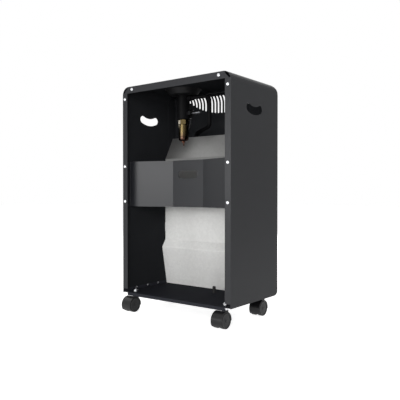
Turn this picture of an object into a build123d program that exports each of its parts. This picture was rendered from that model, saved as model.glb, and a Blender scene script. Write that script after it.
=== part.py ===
"""Portable gas cabinet heater, open at the rear with its cover off.

Frame: +Z up, the front (burner side) faces -Y, the open rear faces +Y, and X runs across
the cabinet. The origin lies on the floor, at the middle of the overall width and depth.
All sizes are millimetres.
"""

from build123d import *
import math
import os

os.makedirs("parts", exist_ok=True)

# ---------------------------------------------------------------- driving dimensions
# Cabinet
cabinet_width = 420.0
cabinet_depth = 267.0
cabinet_height = 661.0
ride_height = 58.0            # floor to the lower edge of the side panels
sheet = 1.2                   # cabinet steel
side_radius = 25.0            # top side edges
front_edge_radius = 5.0       # upright front edges, on over the top front corner
front_top_radius = 35.0       # runs on just behind the seam
front_foot_radius = 22.0
front_pan_depth = 34.0        # front face to the seam with the side panels
seam_lap = 12.0
seat_gap = 0.2                # between sheets that lie on each other
rear_flange = 20.0
top_flange = 21.0
flange_foot_gap = 13.0        # side panel edge to the start of its rear flange
relief_step = 6.0             # rear corner relief, below the top sheet
relief_drop = 20.0            # rear corner relief, down the side
relief_inset = 7.0            # rear corner relief, in from the side
bend = 2.6                    # folded sheet, on the line of the fold's drawn face

# Carry holes in both side panels
carry_reach = 124.0           # rear plane to the hole's middle
carry_drop = 98.5             # top of the cabinet to the slot's lowest centre line
carry_arc_radius = 76.0
carry_half_span = 31.6
carry_slot = 24.0

# Vent slots over the top front edge
vent_columns = 12             # on each side of the middle
vent_pitch = 13.3
vent_width = 6.5
vent_low = 67.0               # top of the cabinet to the lowest slot end
vent_arc_radius = 240.0
vent_run_in = 12.0            # front face to the slots' upper ends

# Burner window and the pressed field under it
window_side = 45.0            # side of the cabinet to the window
window_height = 235.0
window_drop = 156.0           # top of the cabinet to the window's top
window_corner = 14.0
field_depth = 2.5
field_height = 124.0
field_lift = 46.0
field_corner = 12.0

# Base tray
base_lip = 7.3                # below the side panels, between the rear flanges
base_flange = 12.0

# Rear crossbar
bar_height = 146.0
bar_drop = 237.0              # top of the cabinet to the bar's top edge
bar_tab = 12.0
bar_wall = 28.0
bar_side_gap = 3.0
bar_depth = 74.0
bar_flat = 120.0
grip_width = 76.0
grip_height = 24.5
grip_drop = 44.5              # bar's top edge to the grip slot's middle

# Heat shield
shield_sheet = 0.8
shield_side_gap = 0.4          # beside the front panel's lap
shield_foot_depth = 55.0      # front face to the shield at its foot
shield_knee_depth = 79.0
shield_wall_depth = 62.0
shield_top_depth = 21.0
shield_knee_rise = 132.0      # side panel edge to each fold
shield_ramp_rise = 158.0
shield_crease_rise = 440.0
shield_top_rise = 517.0
shield_tab_gap = 6.0          # shield's tabs to the front panel's lap
shield_tab_height = 30.0

# Fasteners
screw_head = 9.5
screw_head_height = 2.6
screw_shank = 4.0
screw_length = 9.0
screw_clearance = 0.4         # on the diameter
screw_inset = 10.0            # side of the cabinet to the rear screws
screw_top_inset = 9.5
screw_top_side = 41.0         # side of the cabinet to the screws along the top
screw_upper_drop = 38.5
bar_screw_inset = 17.0        # bar's edge to its screws
foot_screw_head = 6.5
foot_screw_head_height = 1.8
foot_screw_shank = 3.0
foot_screw_reach = 60.0
foot_screw_pitch = 53.0
foot_screw_lift = 8.6
foot_screw_count = 3
peg_diameter = 11.0
peg_height = 22.0
peg_x = -42.0
peg_reach = 155.0

# Casters
wheel_diameter = 46.0
caster_width = 38.0
wheel_gap = 12.0              # between the two wheels of a caster
wheel_rim = 4.0
wheel_hub = 13.0
wheel_face = 3.2
axle_diameter = 6.0
running_gap = 0.05            # on the radius
web_thickness = 11.0
hood_gap = 1.0
hood_wall = 1.6
hood_start = -38.0            # degrees, from the rear about the axle, over the wheels
hood_end = 188.0
caster_trail = 20.0
stem_diameter = 8.0
stem_grip = 24.0              # length of stem inside the caster
stem_boss = 17.0
stem_boss_lift = 2.0          # boss over the wheels
stem_boss_height = 5.0
stem_collar = 15.0
stem_side = 34.0              # side of the cabinet to the stems
rear_stem_inset = 22.6
front_stem_inset = 42.0
nut_width = 13.0
nut_height = 6.0
stem_stand = 3.0              # stem above its nut

# Burner
plaque_height = 136.0
plaque_thickness = 12.0
plaque_gap = 0.3
tray_sheet = 1.0
tray_depth = 24.0
tray_flange = 3.0
tray_count = 3
tray_spacing = 6.4            # between the trays
tray_inset = 16.7             # side of the window to the outer trays
burner_depth = 48.0           # front face to the back of the burner trays
burner_rise = 375.5           # side panel edge to the middle of the plaques
cradle_side = 5.0             # beside the window
cradle_foot = 14.0
cradle_height = 70.0
throat_diameter = 18.0
throat_bell = 26.0
throat_length = 62.0
bell_length = 14.0
reflector_flange = 8.0
reflector_gap = 1.5
reflector_sheet = 0.6
manifold_size = 12.0
manifold_end_inset = 10.3     # outer sides of the trays to the manifold's ends
manifold_depth = 35.0         # front face to the manifold's axis
manifold_rise = 206.0
injector_diameter = 8.0
injector_height = 11.0
injector_jet = 1.5

# Guard in front of the window
guard_reach = 14.0            # front face to the guard's front
guard_wire = 3.0
guard_post = 4.0
guard_rows = 11
guard_posts = 4
guard_overlap = 8.0           # beyond the window
frame_trim = 12.0
frame_trim_thickness = 2.0

# Control: dish, valve and knob
control_x = 75.0
control_depth = 122.0         # front face to the control's axis
dish_diameter = 118.0
dish_rim = 5.0
dish_depth = 18.0
dish_taper = 13.0
dish_sheet = 1.0
neck_diameter = 20.0
neck_height = 6.0             # above the dish floor
valve_diameter = 42.0
valve_length = 80.0
plug_diameter = 14.0
plug_length = 34.0
plug_drop = 8.0               # dish underside to the plug
spindle_diameter = 7.0
spindle_seat = 24.0           # length of spindle inside the plug
push_travel = 4.0
magnet_diameter = 33.0
magnet_length = 71.0
magnet_hex = 16.0
magnet_hex_width = 30.0
lead_nut_width = 10.0
lead_nut_height = 5.0
lock_nut_width = 26.0
lock_nut_height = 4.0
knob_diameter = 46.0
knob_height = 14.0
knob_gap = 6.0                # dish floor to the knob's rim
knob_wall = 2.5
knob_grip_width = 12.0
knob_grip_height = 5.0
knob_skirt_taper = 2.0
outlet_drop = 12.0            # dish underside to the outlet's axis
outlet_boss = 15.0
outlet_reach = 5.0
outlet_nut = 17.0
outlet_nut_length = 9.0
inlet_drop = 61.0             # dish underside to the inlet's axis, under the outlet
inlet_boss = 16.0
nozzle_nut = 20.0
nozzle_nut_length = 10.0
nozzle_diameter = 9.0
nozzle_bore = 5.0
nozzle_length = 34.0
nozzle_barb = 11.0

# Pipes
burner_pipe_diameter = 12.0
burner_pipe_bend = 16.0
burner_pipe_stub = 20.0       # straight run beside the manifold's end
pipe_loop_x = -31.0           # upright run of the loop beside the valve
pipe_loop_drop = 97.0         # outlet's axis to the foot of the loop
pipe_pass_depth = 8.5         # front face to where pipes pass over the shield
pipe_pass_x = 111.0
pipe_pass_lift = 13.0         # over the shield's top edge
pipe_run_depth = 27.0         # front face to the runs between shield and reflector
pipe_run_drop = 43.0          # shield's top edge to the level run
lead_diameter = 2.4
lead_bend = 9.0
lead_loop = 9.0               # below the thermocouple nut
lead_back_x = 22.0            # from the valve's axis to the lead's upright run
lead_back_y = 29.0
pilot_pipe_diameter = 4.0
pilot_pipe_bend = 9.0
pilot_pipe_stub = 15.0        # straight run out of the valve
pilot_pipe_depth = 54.0       # front face to the bend before the shield
pilot_pipe_slant = 60.0       # that bend to the pipe's upright run
pilot_pipe_lift = 30.0        # that bend over the pass
pilot_port_drop = 73.0        # dish underside to the pilot pipe's port
riser_gap = 11.7              # outer tray to the pilot pipe's upright run
lead_riser_gap = 4.5          # pilot pipe's upright run to the lead's

# Pilot group, in front of the right-hand plaque's lower edge
pilot_offset = 17.0           # middle of the outer tray to the pilot
pilot_pitch = 11.0
pilot_stand_off = 6.0         # in front of the plaques
pilot_tail = 9.0              # below the pilot plate
pilot_diameter = 8.0
pilot_height = 24.0
pilot_margin = 7.0
probe_diameter = 4.0
probe_height = 30.0
spark_diameter = 5.0
spark_height = 20.0
spark_wire = 1.6
spark_tip = 9.0

# ---------------------------------------------------------------- derived places
half_width = cabinet_width / 2
wheel_radius = wheel_diameter / 2
hood_radius = wheel_radius + hood_gap + hood_wall
rear_reach = hood_radius + caster_trail - rear_stem_inset
rear_y = (cabinet_depth + guard_reach - rear_reach) / 2
front_y = rear_y - cabinet_depth
seam_y = front_y + front_pan_depth
side_z = ride_height
top_z = ride_height + cabinet_height
inner_x = half_width - sheet
floor_low_z = side_z + sheet + seat_gap
floor_z = floor_low_z + sheet
control_y = front_y + control_depth
shield_tab = shield_wall_depth - front_pan_depth - seam_lap - shield_tab_gap
dish_floor_z = top_z + dish_sheet - dish_depth
dish_under_z = dish_floor_z - dish_sheet
window_width = cabinet_width - 2 * window_side
window_top_z = top_z - window_drop
window_mid_z = window_top_z - window_height / 2
burner_z = side_z + burner_rise
burner_back_y = front_y + burner_depth
burner_face_y = burner_back_y - tray_depth
manifold_y = front_y + manifold_depth
manifold_z = side_z + manifold_rise
bar_top_z = top_z - bar_drop
lap_inner_x = half_width - 2 * sheet - seat_gap
tray_width = (
    window_width - 2 * tray_inset - (tray_count - 1) * tray_spacing
) / tray_count
tray_pitch = tray_width + tray_spacing
outer_tray_x = (tray_count - 1) / 2 * tray_pitch
plaque_width = tray_width - 2 * (plaque_gap + tray_sheet)
tray_height = plaque_height + 2 * (plaque_gap + tray_sheet)
tray_low_z = burner_z - tray_height / 2
pilot_y = burner_face_y - pilot_stand_off
pilot_plate_z = tray_low_z - seat_gap - sheet
pilot_x = outer_tray_x + pilot_offset
riser_x = outer_tray_x + tray_width / 2 + riser_gap
lead_riser_x = riser_x + lead_riser_gap
cradle_width = window_width + 2 * cradle_side
manifold_length = 2 * (outer_tray_x + tray_width / 2 - manifold_end_inset)
stem_x = half_width - stem_side
screw_top_x = half_width - screw_top_side
shield_top_z = side_z + shield_top_rise
big = 2 * cabinet_height


def save(name, shape):
    """Write one sub-part to its STEP file."""
    export_step(shape, f"parts/{name}.step")


def block(x, y, z):
    """Box between the low and high values of each pair."""
    size = (x[1] - x[0], y[1] - y[0], z[1] - z[0])
    middle = ((x[0] + x[1]) / 2, (y[0] + y[1]) / 2, (z[0] + z[1]) / 2)
    return Pos(*middle) * Box(*size)


def rod(start, direction, radius, length):
    """Round bar from a start point along a direction."""
    return extrude(Plane(origin=start, z_dir=direction) * Circle(radius), length)


def folded(points, radius, thickness, side=Side.LEFT):
    """Flat section of a sheet folded along a line of points."""
    line = FilletPolyline(*points, radius=radius)
    return Face(line.offset_2d(distance=thickness, side=side, closed=True))


def raised(section, low, height):
    """Flat section raised into a solid between two levels."""
    return Pos(0, 0, low) * extrude(section, height, dir=(0, 0, 1))


def tube(points, radius, corner):
    """Solid round pipe along straight runs joined by arcs."""
    path = FilletPolyline(*points, radius=corner)
    return sweep(Plane(origin=path @ 0, z_dir=path % 0) * Circle(radius), path=path)


def bar(radius, height):
    """Round bar standing on the origin."""
    return extrude(Circle(radius), height)


def hexagon(width, height):
    """Hexagonal bar, measured across its flats, standing on the origin."""
    return extrude(RegularPolygon(width / 2, 6, major_radius=False), height)


def pan_screw(head, head_height, shank, length):
    """Screw with a domed head above the origin and its shank below."""
    dome = extrude(Circle(head / 2), head_height)
    dome = fillet(dome.edges().group_by(Axis.Z)[-1], head_height * 0.7)
    return dome + extrude(Circle(shank / 2), -length)


def pair(shape):
    """The shape and its mirror image across the cabinet."""
    return [shape, mirror(shape, about=Plane.YZ)]


# ---------------------------------------------------------------- cabinet sheets
def sleeve_form(inset):
    """Rear view carried straight along the depth, moved in by an inset, open below."""
    side = half_width - inset
    top = top_z - inset
    low = side_z - cabinet_depth
    outline = FilletPolyline(
        (-side, low), (-side, top), (side, top), (side, low), radius=side_radius - inset
    )
    rear_view = make_face([*outline.edges(), Line((side, low), (-side, low))])
    return extrude(Plane.XZ * rear_view, big, both=True)


def cabinet_form(inset):
    """Outer form of the cabinet's front moved in by an inset.

    It's what the side view and the rear view have in common. The edges where they meet the
    front are eased, up the sides and over the round top corner.
    """
    front = front_y + inset
    top = top_z - inset
    low = side_z - cabinet_depth
    radius = front_top_radius - inset
    outline = FilletPolyline(
        (rear_y, low), (rear_y, top), (front, top), (front, low), radius=(0, radius)
    )
    side_view = make_face([*outline.edges(), Line((front, low), (rear_y, low))])
    form = sleeve_form(inset) & extrude(Plane.YZ * side_view, half_width, both=True)
    eased = [
        edge
        for edge in form.edges()
        if abs(edge.center().X) > half_width / 2 and edge.center().Y < front + radius
    ]
    form = fillet(eased, front_edge_radius - inset)
    return form & foot_form(inset)


def foot_form(inset):
    """Prism that rounds the lower front corner and cuts the form off at its lower edge."""
    front = front_y + inset
    low = side_z + inset
    radius = front_foot_radius - inset
    outline = FilletPolyline(
        (rear_y, low), (front, low), (front, big), (rear_y, big), radius=(radius, 0)
    )
    side_view = make_face([*outline.edges(), Line((rear_y, big), (rear_y, low))])
    return extrude(Plane.YZ * side_view, half_width, both=True)


def carry_hole():
    """Cutter through both side panels: a slot bent along an arc, with its ends up."""
    sweep_angle = math.degrees(math.asin(carry_half_span / carry_arc_radius))
    centre = (rear_y - carry_reach, top_z - carry_drop + carry_arc_radius)
    arc = CenterArc(centre, carry_arc_radius, 270 - sweep_angle, 2 * sweep_angle)
    return extrude(Plane.YZ * SlotArc(arc, carry_slot), half_width + 1, both=True)


def rear_flanges():
    """Flanges folded in along the sides and the top, with their corners cut back."""
    outline = Plane.XZ * Pos(0, side_z + cabinet_height / 2) * Rectangle(
        cabinet_width - sheet, cabinet_height - sheet
    )
    opening = block(
        (-half_width + rear_flange, half_width - rear_flange),
        (-big, big),
        (0, top_z - top_flange),
    )
    low = block((-half_width, half_width), (-big, big), (0, side_z + flange_foot_gap))
    relief = Polyline(
        (half_width - rear_flange, top_z + 1),
        (half_width - rear_flange, top_z - relief_step),
        (half_width - relief_inset, top_z - relief_drop),
        (half_width + 1, top_z - relief_drop),
        (half_width + 1, top_z + 1),
        close=True,
    )
    corner = extrude(Plane.XZ * make_face(relief), big, both=True)
    plate = extrude(Pos(0, rear_y) * outline, sheet)
    return plate - opening - low - pair(corner)


def screw_places():
    """Centres (x, z) of the screws along the rear flanges."""
    side = half_width - screw_inset
    heights = (
        top_z - screw_upper_drop,
        bar_top_z - bar_screw_inset,
        bar_top_z - bar_height + bar_screw_inset,
    )
    places = [(x, z) for x in (-side, side) for z in heights]
    return places + [(x, top_z - screw_top_inset) for x in (-screw_top_x, screw_top_x)]


def flange_screw_holes():
    """Clearance holes for the rear screws, through the flanges and the bar's tabs."""
    radius = (screw_shank + screw_clearance) / 2
    return [
        rod((x, rear_y + 1, z), (0, -1, 0), radius, screw_length + 2)
        for x, z in screw_places()
    ]


def cabinet_wrap():
    """Sides and top in one sheet, from the seam to the rear, with the rear flanges."""
    shell = sleeve_form(0) - sleeve_form(sheet)
    shell &= block((-big, big), (seam_y, rear_y), (side_z, big))
    shell += rear_flanges()
    shell -= flange_screw_holes()
    shell -= carry_hole()
    dish = rod(
        (control_x, control_y, top_z - front_top_radius),
        (0, 0, 1),
        dish_diameter / 2 - dish_sheet + bend + seat_gap,
        big,
    )
    return shell - dish


def vent_slots():
    """Cutters for the upright slots, whose lower ends follow an arc across the front."""
    cutters = []
    arc_z = top_z - vent_low + vent_arc_radius
    for column in range(vent_columns):
        x = (column + 0.5) * vent_pitch
        low = arc_z - math.sqrt(vent_arc_radius**2 - x**2) + vent_width / 2
        slot = Pos(x, low) * Circle(vent_width / 2)
        slot += Pos(x, low + big / 2) * Rectangle(vent_width, big)
        depth = Plane.XZ.offset(-(front_y + vent_run_in))
        cutters += pair(extrude(depth * slot, vent_run_in + 1))
    return cutters


def window_cutter():
    """Prism of the burner window."""
    outline = RectangleRounded(window_width, window_height, window_corner)
    return extrude(Plane.XZ * Pos(0, window_mid_z) * outline, big)


def front_panel():
    """Pressed pan that forms the whole front and laps behind the side panels."""
    front_zone = block((-big, big), (front_y - 1, seam_y), (0, big))
    pan = (cabinet_form(0) - cabinet_form(sheet)) & front_zone
    outer_lap = sleeve_form(sheet + seat_gap)
    inner_lap = sleeve_form(2 * sheet + seat_gap)
    step = seam_lap / 4
    joggle_zone = block((-big, big), (seam_y - step, seam_y), (floor_z + base_flange, big))
    lap_zone = block((-big, big), (seam_y - step, seam_y + seam_lap), (floor_z + base_flange, big))
    joggle = (sleeve_form(sheet) - inner_lap) & joggle_zone
    lap = (outer_lap - inner_lap) & lap_zone
    pan = pan + joggle + lap
    pan = pan - window_cutter()
    pan = pan - vent_slots()
    return press_field(pan)


def press_field(pan):
    """Stiffening field pressed into the front below the window, one sheet thick."""
    width = window_width
    middle = side_z + field_lift + field_height / 2
    outer = RectangleRounded(width, field_height, field_corner)
    inner = RectangleRounded(width - 2 * sheet, field_height - 2 * sheet, field_corner - sheet)
    hollow = Plane.XZ.offset(-(front_y - 1)) * Pos(0, middle)
    tray = Plane.XZ.offset(-(front_y + sheet + field_depth)) * Pos(0, middle)
    pan += extrude(tray * outer, sheet + field_depth)
    return pan - extrude(hollow * inner, -(1 + field_depth))


def base_tray():
    """Floor sheet with a rear lip folded down and flanges folded up at the sides and front."""
    front = front_y + front_foot_radius
    plate = block((-inner_x + seat_gap, inner_x - seat_gap), (front, rear_y), (floor_low_z, floor_z))
    lip = block(
        (-half_width + rear_flange, half_width - rear_flange),
        (rear_y - sheet, rear_y),
        (side_z - base_lip, floor_z),
    )
    side = block(
        (inner_x - seat_gap - sheet, inner_x - seat_gap),
        (front, rear_y - 2 * sheet - seat_gap),
        (floor_low_z, side_z + base_flange),
    )
    front_edge = block(
        (-inner_x + front_foot_radius, inner_x - front_foot_radius),
        (front, front + sheet),
        (floor_low_z, side_z + base_flange),
    )
    tray = plate + lip + pair(side) + front_edge
    holes = [
        rod((x, y, side_z), (0, 0, 1), (stem_diameter + screw_clearance) / 2, base_flange)
        for x, y in stem_places()
    ]
    holes += [
        rod((-big, y, side_z + foot_screw_lift), (1, 0, 0), foot_screw_shank / 2 + seat_gap, 2 * big)
        for y in foot_screw_rows()
    ]
    return tray - holes


def foot_screw_rows():
    """Y of each screw along the base flanges."""
    return [rear_y - foot_screw_reach - row * foot_screw_pitch for row in range(foot_screw_count)]


def rear_crossbar():
    """Wide band across the rear, folded inwards in plan, with a grip slot."""
    outer = inner_x - bar_side_gap
    tab_y = rear_y - sheet - seat_gap
    half = [
        (outer - bar_tab, tab_y),
        (outer, tab_y),
        (outer, tab_y - bar_wall),
        (bar_flat / 2, rear_y - bar_depth),
    ]
    line = half + [(-x, y) for x, y in reversed(half)]
    section = folded(line, bend, sheet, Side.RIGHT)
    band = raised(section, bar_top_z - bar_height, bar_height)
    grip = Plane.XZ * Pos(0, bar_top_z - grip_drop) * SlotOverall(grip_width, grip_height)
    band -= extrude(grip, big, both=True)
    return band - flange_screw_holes()


def heat_shield():
    """Folded bright sheet between the gas bottle and the burner, with end tabs."""
    line = [
        (front_y + shield_foot_depth, floor_z + seat_gap),
        (front_y + shield_knee_depth, side_z + shield_knee_rise),
        (front_y + shield_wall_depth, side_z + shield_ramp_rise),
        (front_y + shield_wall_depth, side_z + shield_crease_rise),
        (front_y + shield_top_depth, side_z + shield_top_rise),
    ]
    section = Plane.YZ * folded(line, bend, shield_sheet)
    half = lap_inner_x - shield_side_gap
    shield = extrude(section, half, both=True)
    shield -= block((-big, big), (-big, big), (0, floor_z + seat_gap))
    wall_y = front_y + shield_wall_depth
    edge = inner_x - seat_gap
    tabs = []
    for rise in (shield_ramp_rise + shield_tab_height, shield_crease_rise - 2 * shield_tab_height):
        level = (side_z + rise, side_z + rise + shield_tab_height)
        tabs += pair(block((half - sheet, edge), (wall_y - shield_sheet, wall_y), level))
        tabs += pair(
            block((edge - shield_sheet, edge), (wall_y - shield_tab, wall_y), level)
        )
    return shield + tabs


# ---------------------------------------------------------------- casters
def stem_places():
    """Centres (x, y) of the caster stems."""
    rear = rear_y - rear_stem_inset
    front = front_y + front_stem_inset
    return [(-stem_x, rear), (stem_x, rear), (-stem_x, front), (stem_x, front)]


def caster_hood():
    """Body between the two wheels with a guard over their treads.

    Drawn with the stem's axis on Z and the axle behind it, along X.
    """
    axle = Pos(caster_trail, wheel_radius)
    wedge = Polyline(
        (0, 0),
        *[
            (2 * hood_radius * math.cos(math.radians(a)), 2 * hood_radius * math.sin(math.radians(a)))
            for a in (hood_start, (hood_start + hood_end) / 2, hood_end)
        ],
        close=True,
    )
    sector = make_face(wedge)
    disc = axle * (Circle(hood_radius) & sector)
    ring = axle * ((Circle(hood_radius) - Circle(hood_radius - hood_wall)) & sector)
    hub = axle * Circle(wheel_hub / 2 + hood_wall)
    boss_top = wheel_diameter + stem_boss_lift
    column = Pos(0, boss_top - stem_grip / 2) * Rectangle(stem_boss, stem_grip)
    web = extrude(Plane.YZ * (disc + hub + column), web_thickness / 2, both=True)
    guard = extrude(Plane.YZ * ring, caster_width / 2 - hood_wall / 2, both=True)
    collar = Pos(0, 0, boss_top - stem_boss_height) * bar(stem_boss / 2, stem_boss_height)
    bore = rod(
        (0, 0, boss_top - stem_grip),
        (0, 0, 1),
        stem_diameter / 2 + running_gap,
        2 * stem_grip,
    )
    axle_bore = rod(
        (-caster_width, caster_trail, wheel_radius),
        (1, 0, 0),
        axle_diameter / 2 + running_gap,
        2 * caster_width,
    )
    return web + guard + collar - bore - axle_bore


def caster_axle():
    """Pin that carries both wheels."""
    reach = caster_width / 2 - wheel_face / 2 - running_gap
    return rod((-reach, caster_trail, wheel_radius), (1, 0, 0), axle_diameter / 2, 2 * reach)


def caster_wheel():
    """Right-hand wheel: a hollow drum with a dished outer face and a blind hub."""
    inner = wheel_gap / 2
    outer = caster_width / 2
    rim = wheel_radius - wheel_rim
    dish = wheel_face / 4
    chamfer = wheel_face / 2
    bore = axle_diameter / 2 + running_gap
    half_section = Polyline(
        (inner, bore),
        (inner, wheel_hub / 2),
        (outer - wheel_face, wheel_hub / 2),
        (outer - wheel_face, rim),
        (inner, rim),
        (inner, wheel_radius),
        (outer - chamfer, wheel_radius),
        (outer, wheel_radius - chamfer),
        (outer - dish, rim),
        (outer - dish, 0),
        (outer - wheel_face / 2, 0),
        (outer - wheel_face / 2, bore),
        close=True,
    )
    wheel = revolve(make_face(half_section), axis=Axis.X)
    return Pos(0, caster_trail, wheel_radius) * wheel


def caster_stems():
    """Threaded stems with the collars that the base tray rests on."""
    boss_top = wheel_diameter + stem_boss_lift
    low = boss_top - stem_grip + seat_gap
    high = floor_z + nut_height + stem_stand
    stems = []
    for x, y in stem_places():
        stem = rod((x, y, low), (0, 0, 1), stem_diameter / 2, high - low)
        collar = rod(
            (x, y, boss_top + seat_gap),
            (0, 0, 1),
            stem_collar / 2,
            floor_low_z - boss_top - seat_gap,
        )
        stems.append(stem + collar)
    return Compound(stems)


def caster_nuts():
    """Nuts that hold the stems, on top of the base tray."""
    nut = hexagon(nut_width, nut_height) - bar(stem_diameter / 2 + running_gap, nut_height)
    return Compound([Pos(x, y, floor_z) * nut for x, y in stem_places()])


# ---------------------------------------------------------------- fasteners
def flange_screws():
    """Pan-head screws round the rear opening."""
    screw = pan_screw(screw_head, screw_head_height, screw_shank, screw_length)
    return Compound(
        [Plane(origin=(x, rear_y, z), z_dir=(0, 1, 0)) * screw for x, z in screw_places()]
    )


def foot_screws():
    """Low studs along the base flanges, on both sides."""
    length = sheet + seat_gap / 2
    screw = pan_screw(foot_screw_head, foot_screw_head_height, foot_screw_shank, length)
    x = inner_x - seat_gap - sheet
    studs = []
    for y in foot_screw_rows():
        stud = Plane(origin=(x, y, side_z + foot_screw_lift), z_dir=(-1, 0, 0)) * screw
        studs += pair(stud)
    return Compound(studs)


def bottle_peg():
    """Rubber peg on the floor that stops the gas bottle."""
    peg = bar(peg_diameter / 2, peg_height)
    peg = fillet(peg.edges().group_by(Axis.Z)[-1], peg_diameter / 4)
    return Pos(peg_x, rear_y - peg_reach, floor_z) * peg


# ---------------------------------------------------------------- burner
def tray_places():
    """X of each burner tray."""
    return [(place - (tray_count - 1) / 2) * tray_pitch for place in range(tray_count)]


def burner_tray():
    """Pressed box behind a plaque, with its mixing tube and bell mouth below."""
    back = Plane.XZ.offset(-burner_back_y) * Pos(0, burner_z)
    body = extrude(back * Rectangle(tray_width, tray_height), tray_depth)
    rim = Rectangle(tray_width + 2 * tray_flange, tray_height + 2 * tray_flange)
    shelf = Plane.XZ.offset(-(burner_face_y + plaque_thickness)) * Pos(0, burner_z)
    body += extrude(shelf * rim, tray_sheet)
    inside = Plane.XZ.offset(-(burner_back_y - tray_sheet)) * Pos(0, burner_z)
    ledge = 2 * tray_sheet
    body -= extrude(
        inside * Rectangle(tray_width - 2 * ledge, tray_height - 2 * ledge), tray_depth
    )
    seat = Plane.XZ.offset(-(burner_face_y + plaque_thickness)) * Pos(0, burner_z)
    body -= extrude(
        seat * Rectangle(plaque_width + 2 * plaque_gap, plaque_height + 2 * plaque_gap), tray_depth
    )
    low = tray_low_z
    y = manifold_y
    profile = Polyline(
        (0, 0),
        (throat_diameter / 2, 0),
        (throat_diameter / 2, -throat_length + bell_length),
        (throat_bell / 2, -throat_length),
        (0, -throat_length),
        close=True,
    )
    skin = make_face(profile)
    pipe = Pos(0, y, low + tray_sheet / 2) * revolve(Plane.XZ * skin, axis=Axis.Z)
    hollow = Polyline(
        (0, 1 + tray_sheet),
        (throat_diameter / 2 - tray_sheet, 1 + tray_sheet),
        (throat_diameter / 2 - tray_sheet, -throat_length + bell_length),
        (throat_bell / 2 - tray_sheet, -throat_length - 1),
        (0, -throat_length - 1),
        close=True,
    )
    bore = Pos(0, y, low + tray_sheet / 2) * revolve(Plane.XZ * make_face(hollow), axis=Axis.Z)
    return body + pipe - bore


def ceramic_plaque():
    """Flat radiant tile that fills the mouth of a tray."""
    face = Plane.XZ.offset(-(burner_face_y + plaque_thickness - seat_gap)) * Pos(0, burner_z)
    tile = extrude(face * Rectangle(plaque_width, plaque_height), plaque_thickness)
    return chamfer(tile.faces().sort_by(Axis.Y)[0].edges(), seat_gap * 4)


def burner_cradle():
    """Bracket, folded in plan, that carries the trays on the back of the front panel."""
    half = cradle_width / 2
    seat_y = front_y + sheet + seat_gap + reflector_sheet
    back_y = burner_back_y + seat_gap
    line = [
        (half + cradle_foot, seat_y),
        (half, seat_y),
        (half, back_y),
        (-half, back_y),
        (-half, seat_y),
        (-half - cradle_foot, seat_y),
    ]
    section = folded(line, bend, sheet, Side.RIGHT)
    return raised(section, burner_z - cradle_height / 2, cradle_height)


def reflector():
    """Bright funnel from the window's edge back to the burner trays."""
    width = 2 * tray_places()[-1] + tray_width + 2 * reflector_gap
    height = tray_height + 2 * reflector_gap
    seat_y = front_y + sheet + seat_gap / 2
    inner_y = burner_face_y
    skin = reflector_sheet
    mouth = Plane.XZ.offset(-seat_y) * Pos(0, window_mid_z)
    throat = Plane.XZ.offset(-inner_y) * Pos(0, burner_z)
    outer = loft(
        [
            mouth * Rectangle(window_width + 2 * skin, window_height + 2 * skin),
            throat * Rectangle(width + 2 * skin, height + 2 * skin),
        ]
    )
    inner = loft(
        [mouth * Rectangle(window_width, window_height), throat * Rectangle(width, height)]
    )
    rim = extrude(
        mouth
        * (
            Rectangle(window_width + 2 * reflector_flange, window_height + 2 * reflector_flange)
            - Rectangle(window_width, window_height)
        ),
        -skin,
    )
    span = (pilot_x - pilot_margin - seat_gap, pilot_x + 2 * pilot_pitch + pilot_margin + seat_gap)
    notch = block(span, (seat_y + 2 * sheet, inner_y + 1), (tray_low_z - 2 * tray_depth, burner_z))
    return outer + rim - inner - notch


def guard_grille():
    """Wire guard: level rods on upright posts that bend back to the panel."""
    front = front_y - guard_reach
    rod_y = front + guard_wire / 2
    post_y = front + guard_wire + guard_post / 2 + running_gap
    half = window_width / 2 + guard_overlap
    low = window_mid_z - window_height / 2 - guard_overlap
    high = window_mid_z + window_height / 2 + guard_overlap
    seat_y = front_y - frame_trim_thickness - seat_gap
    post_half = half - guard_overlap
    posts = []
    for place in range(guard_posts):
        x = post_half * (2 * place / (guard_posts - 1) - 1)
        points = [(x, seat_y, low), (x, post_y, low), (x, post_y, high), (x, seat_y, high)]
        posts.append(tube(points, guard_post / 2, guard_post))
    pitch = (high - low - 4 * guard_post) / (guard_rows - 1)
    wires = []
    for row in range(guard_rows):
        z = low + 2 * guard_post + row * pitch
        wires.append(rod((-half, rod_y, z), (1, 0, 0), guard_wire / 2, 2 * half))
    return Compound(posts + wires)


def window_frame():
    """Trim round the window, on the front face."""
    outline = RectangleRounded(
        window_width + 2 * frame_trim, window_height + 2 * frame_trim, window_corner + frame_trim
    )
    outline -= RectangleRounded(window_width, window_height, window_corner)
    ring = extrude(Plane.XZ.offset(-front_y) * Pos(0, window_mid_z) * outline, frame_trim_thickness)
    outer = ring.faces().sort_by(Axis.Y)[0]
    return chamfer(outer.edges(), frame_trim_thickness / 3)


def gas_manifold():
    """Square bar across the three trays that feeds their jets."""
    half = manifold_length / 2
    body = block(
        (-half, half),
        (manifold_y - manifold_size / 2, manifold_y + manifold_size / 2),
        (manifold_z - manifold_size / 2, manifold_z + manifold_size / 2),
    )
    return chamfer(body.edges().filter_by(Axis.X), manifold_size / 8)


def injectors():
    """Brass jets under the bell mouths."""
    jet = hexagon(injector_diameter, injector_height / 2)
    nose = Pos(0, 0, injector_height / 2) * bar(injector_diameter * 0.35, injector_height / 2)
    bore = bar(injector_jet / 2, injector_height)
    jet = jet + nose - bore
    z = manifold_z + manifold_size / 2
    return Compound([Pos(x, manifold_y, z) * jet for x in tray_places()])


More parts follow.
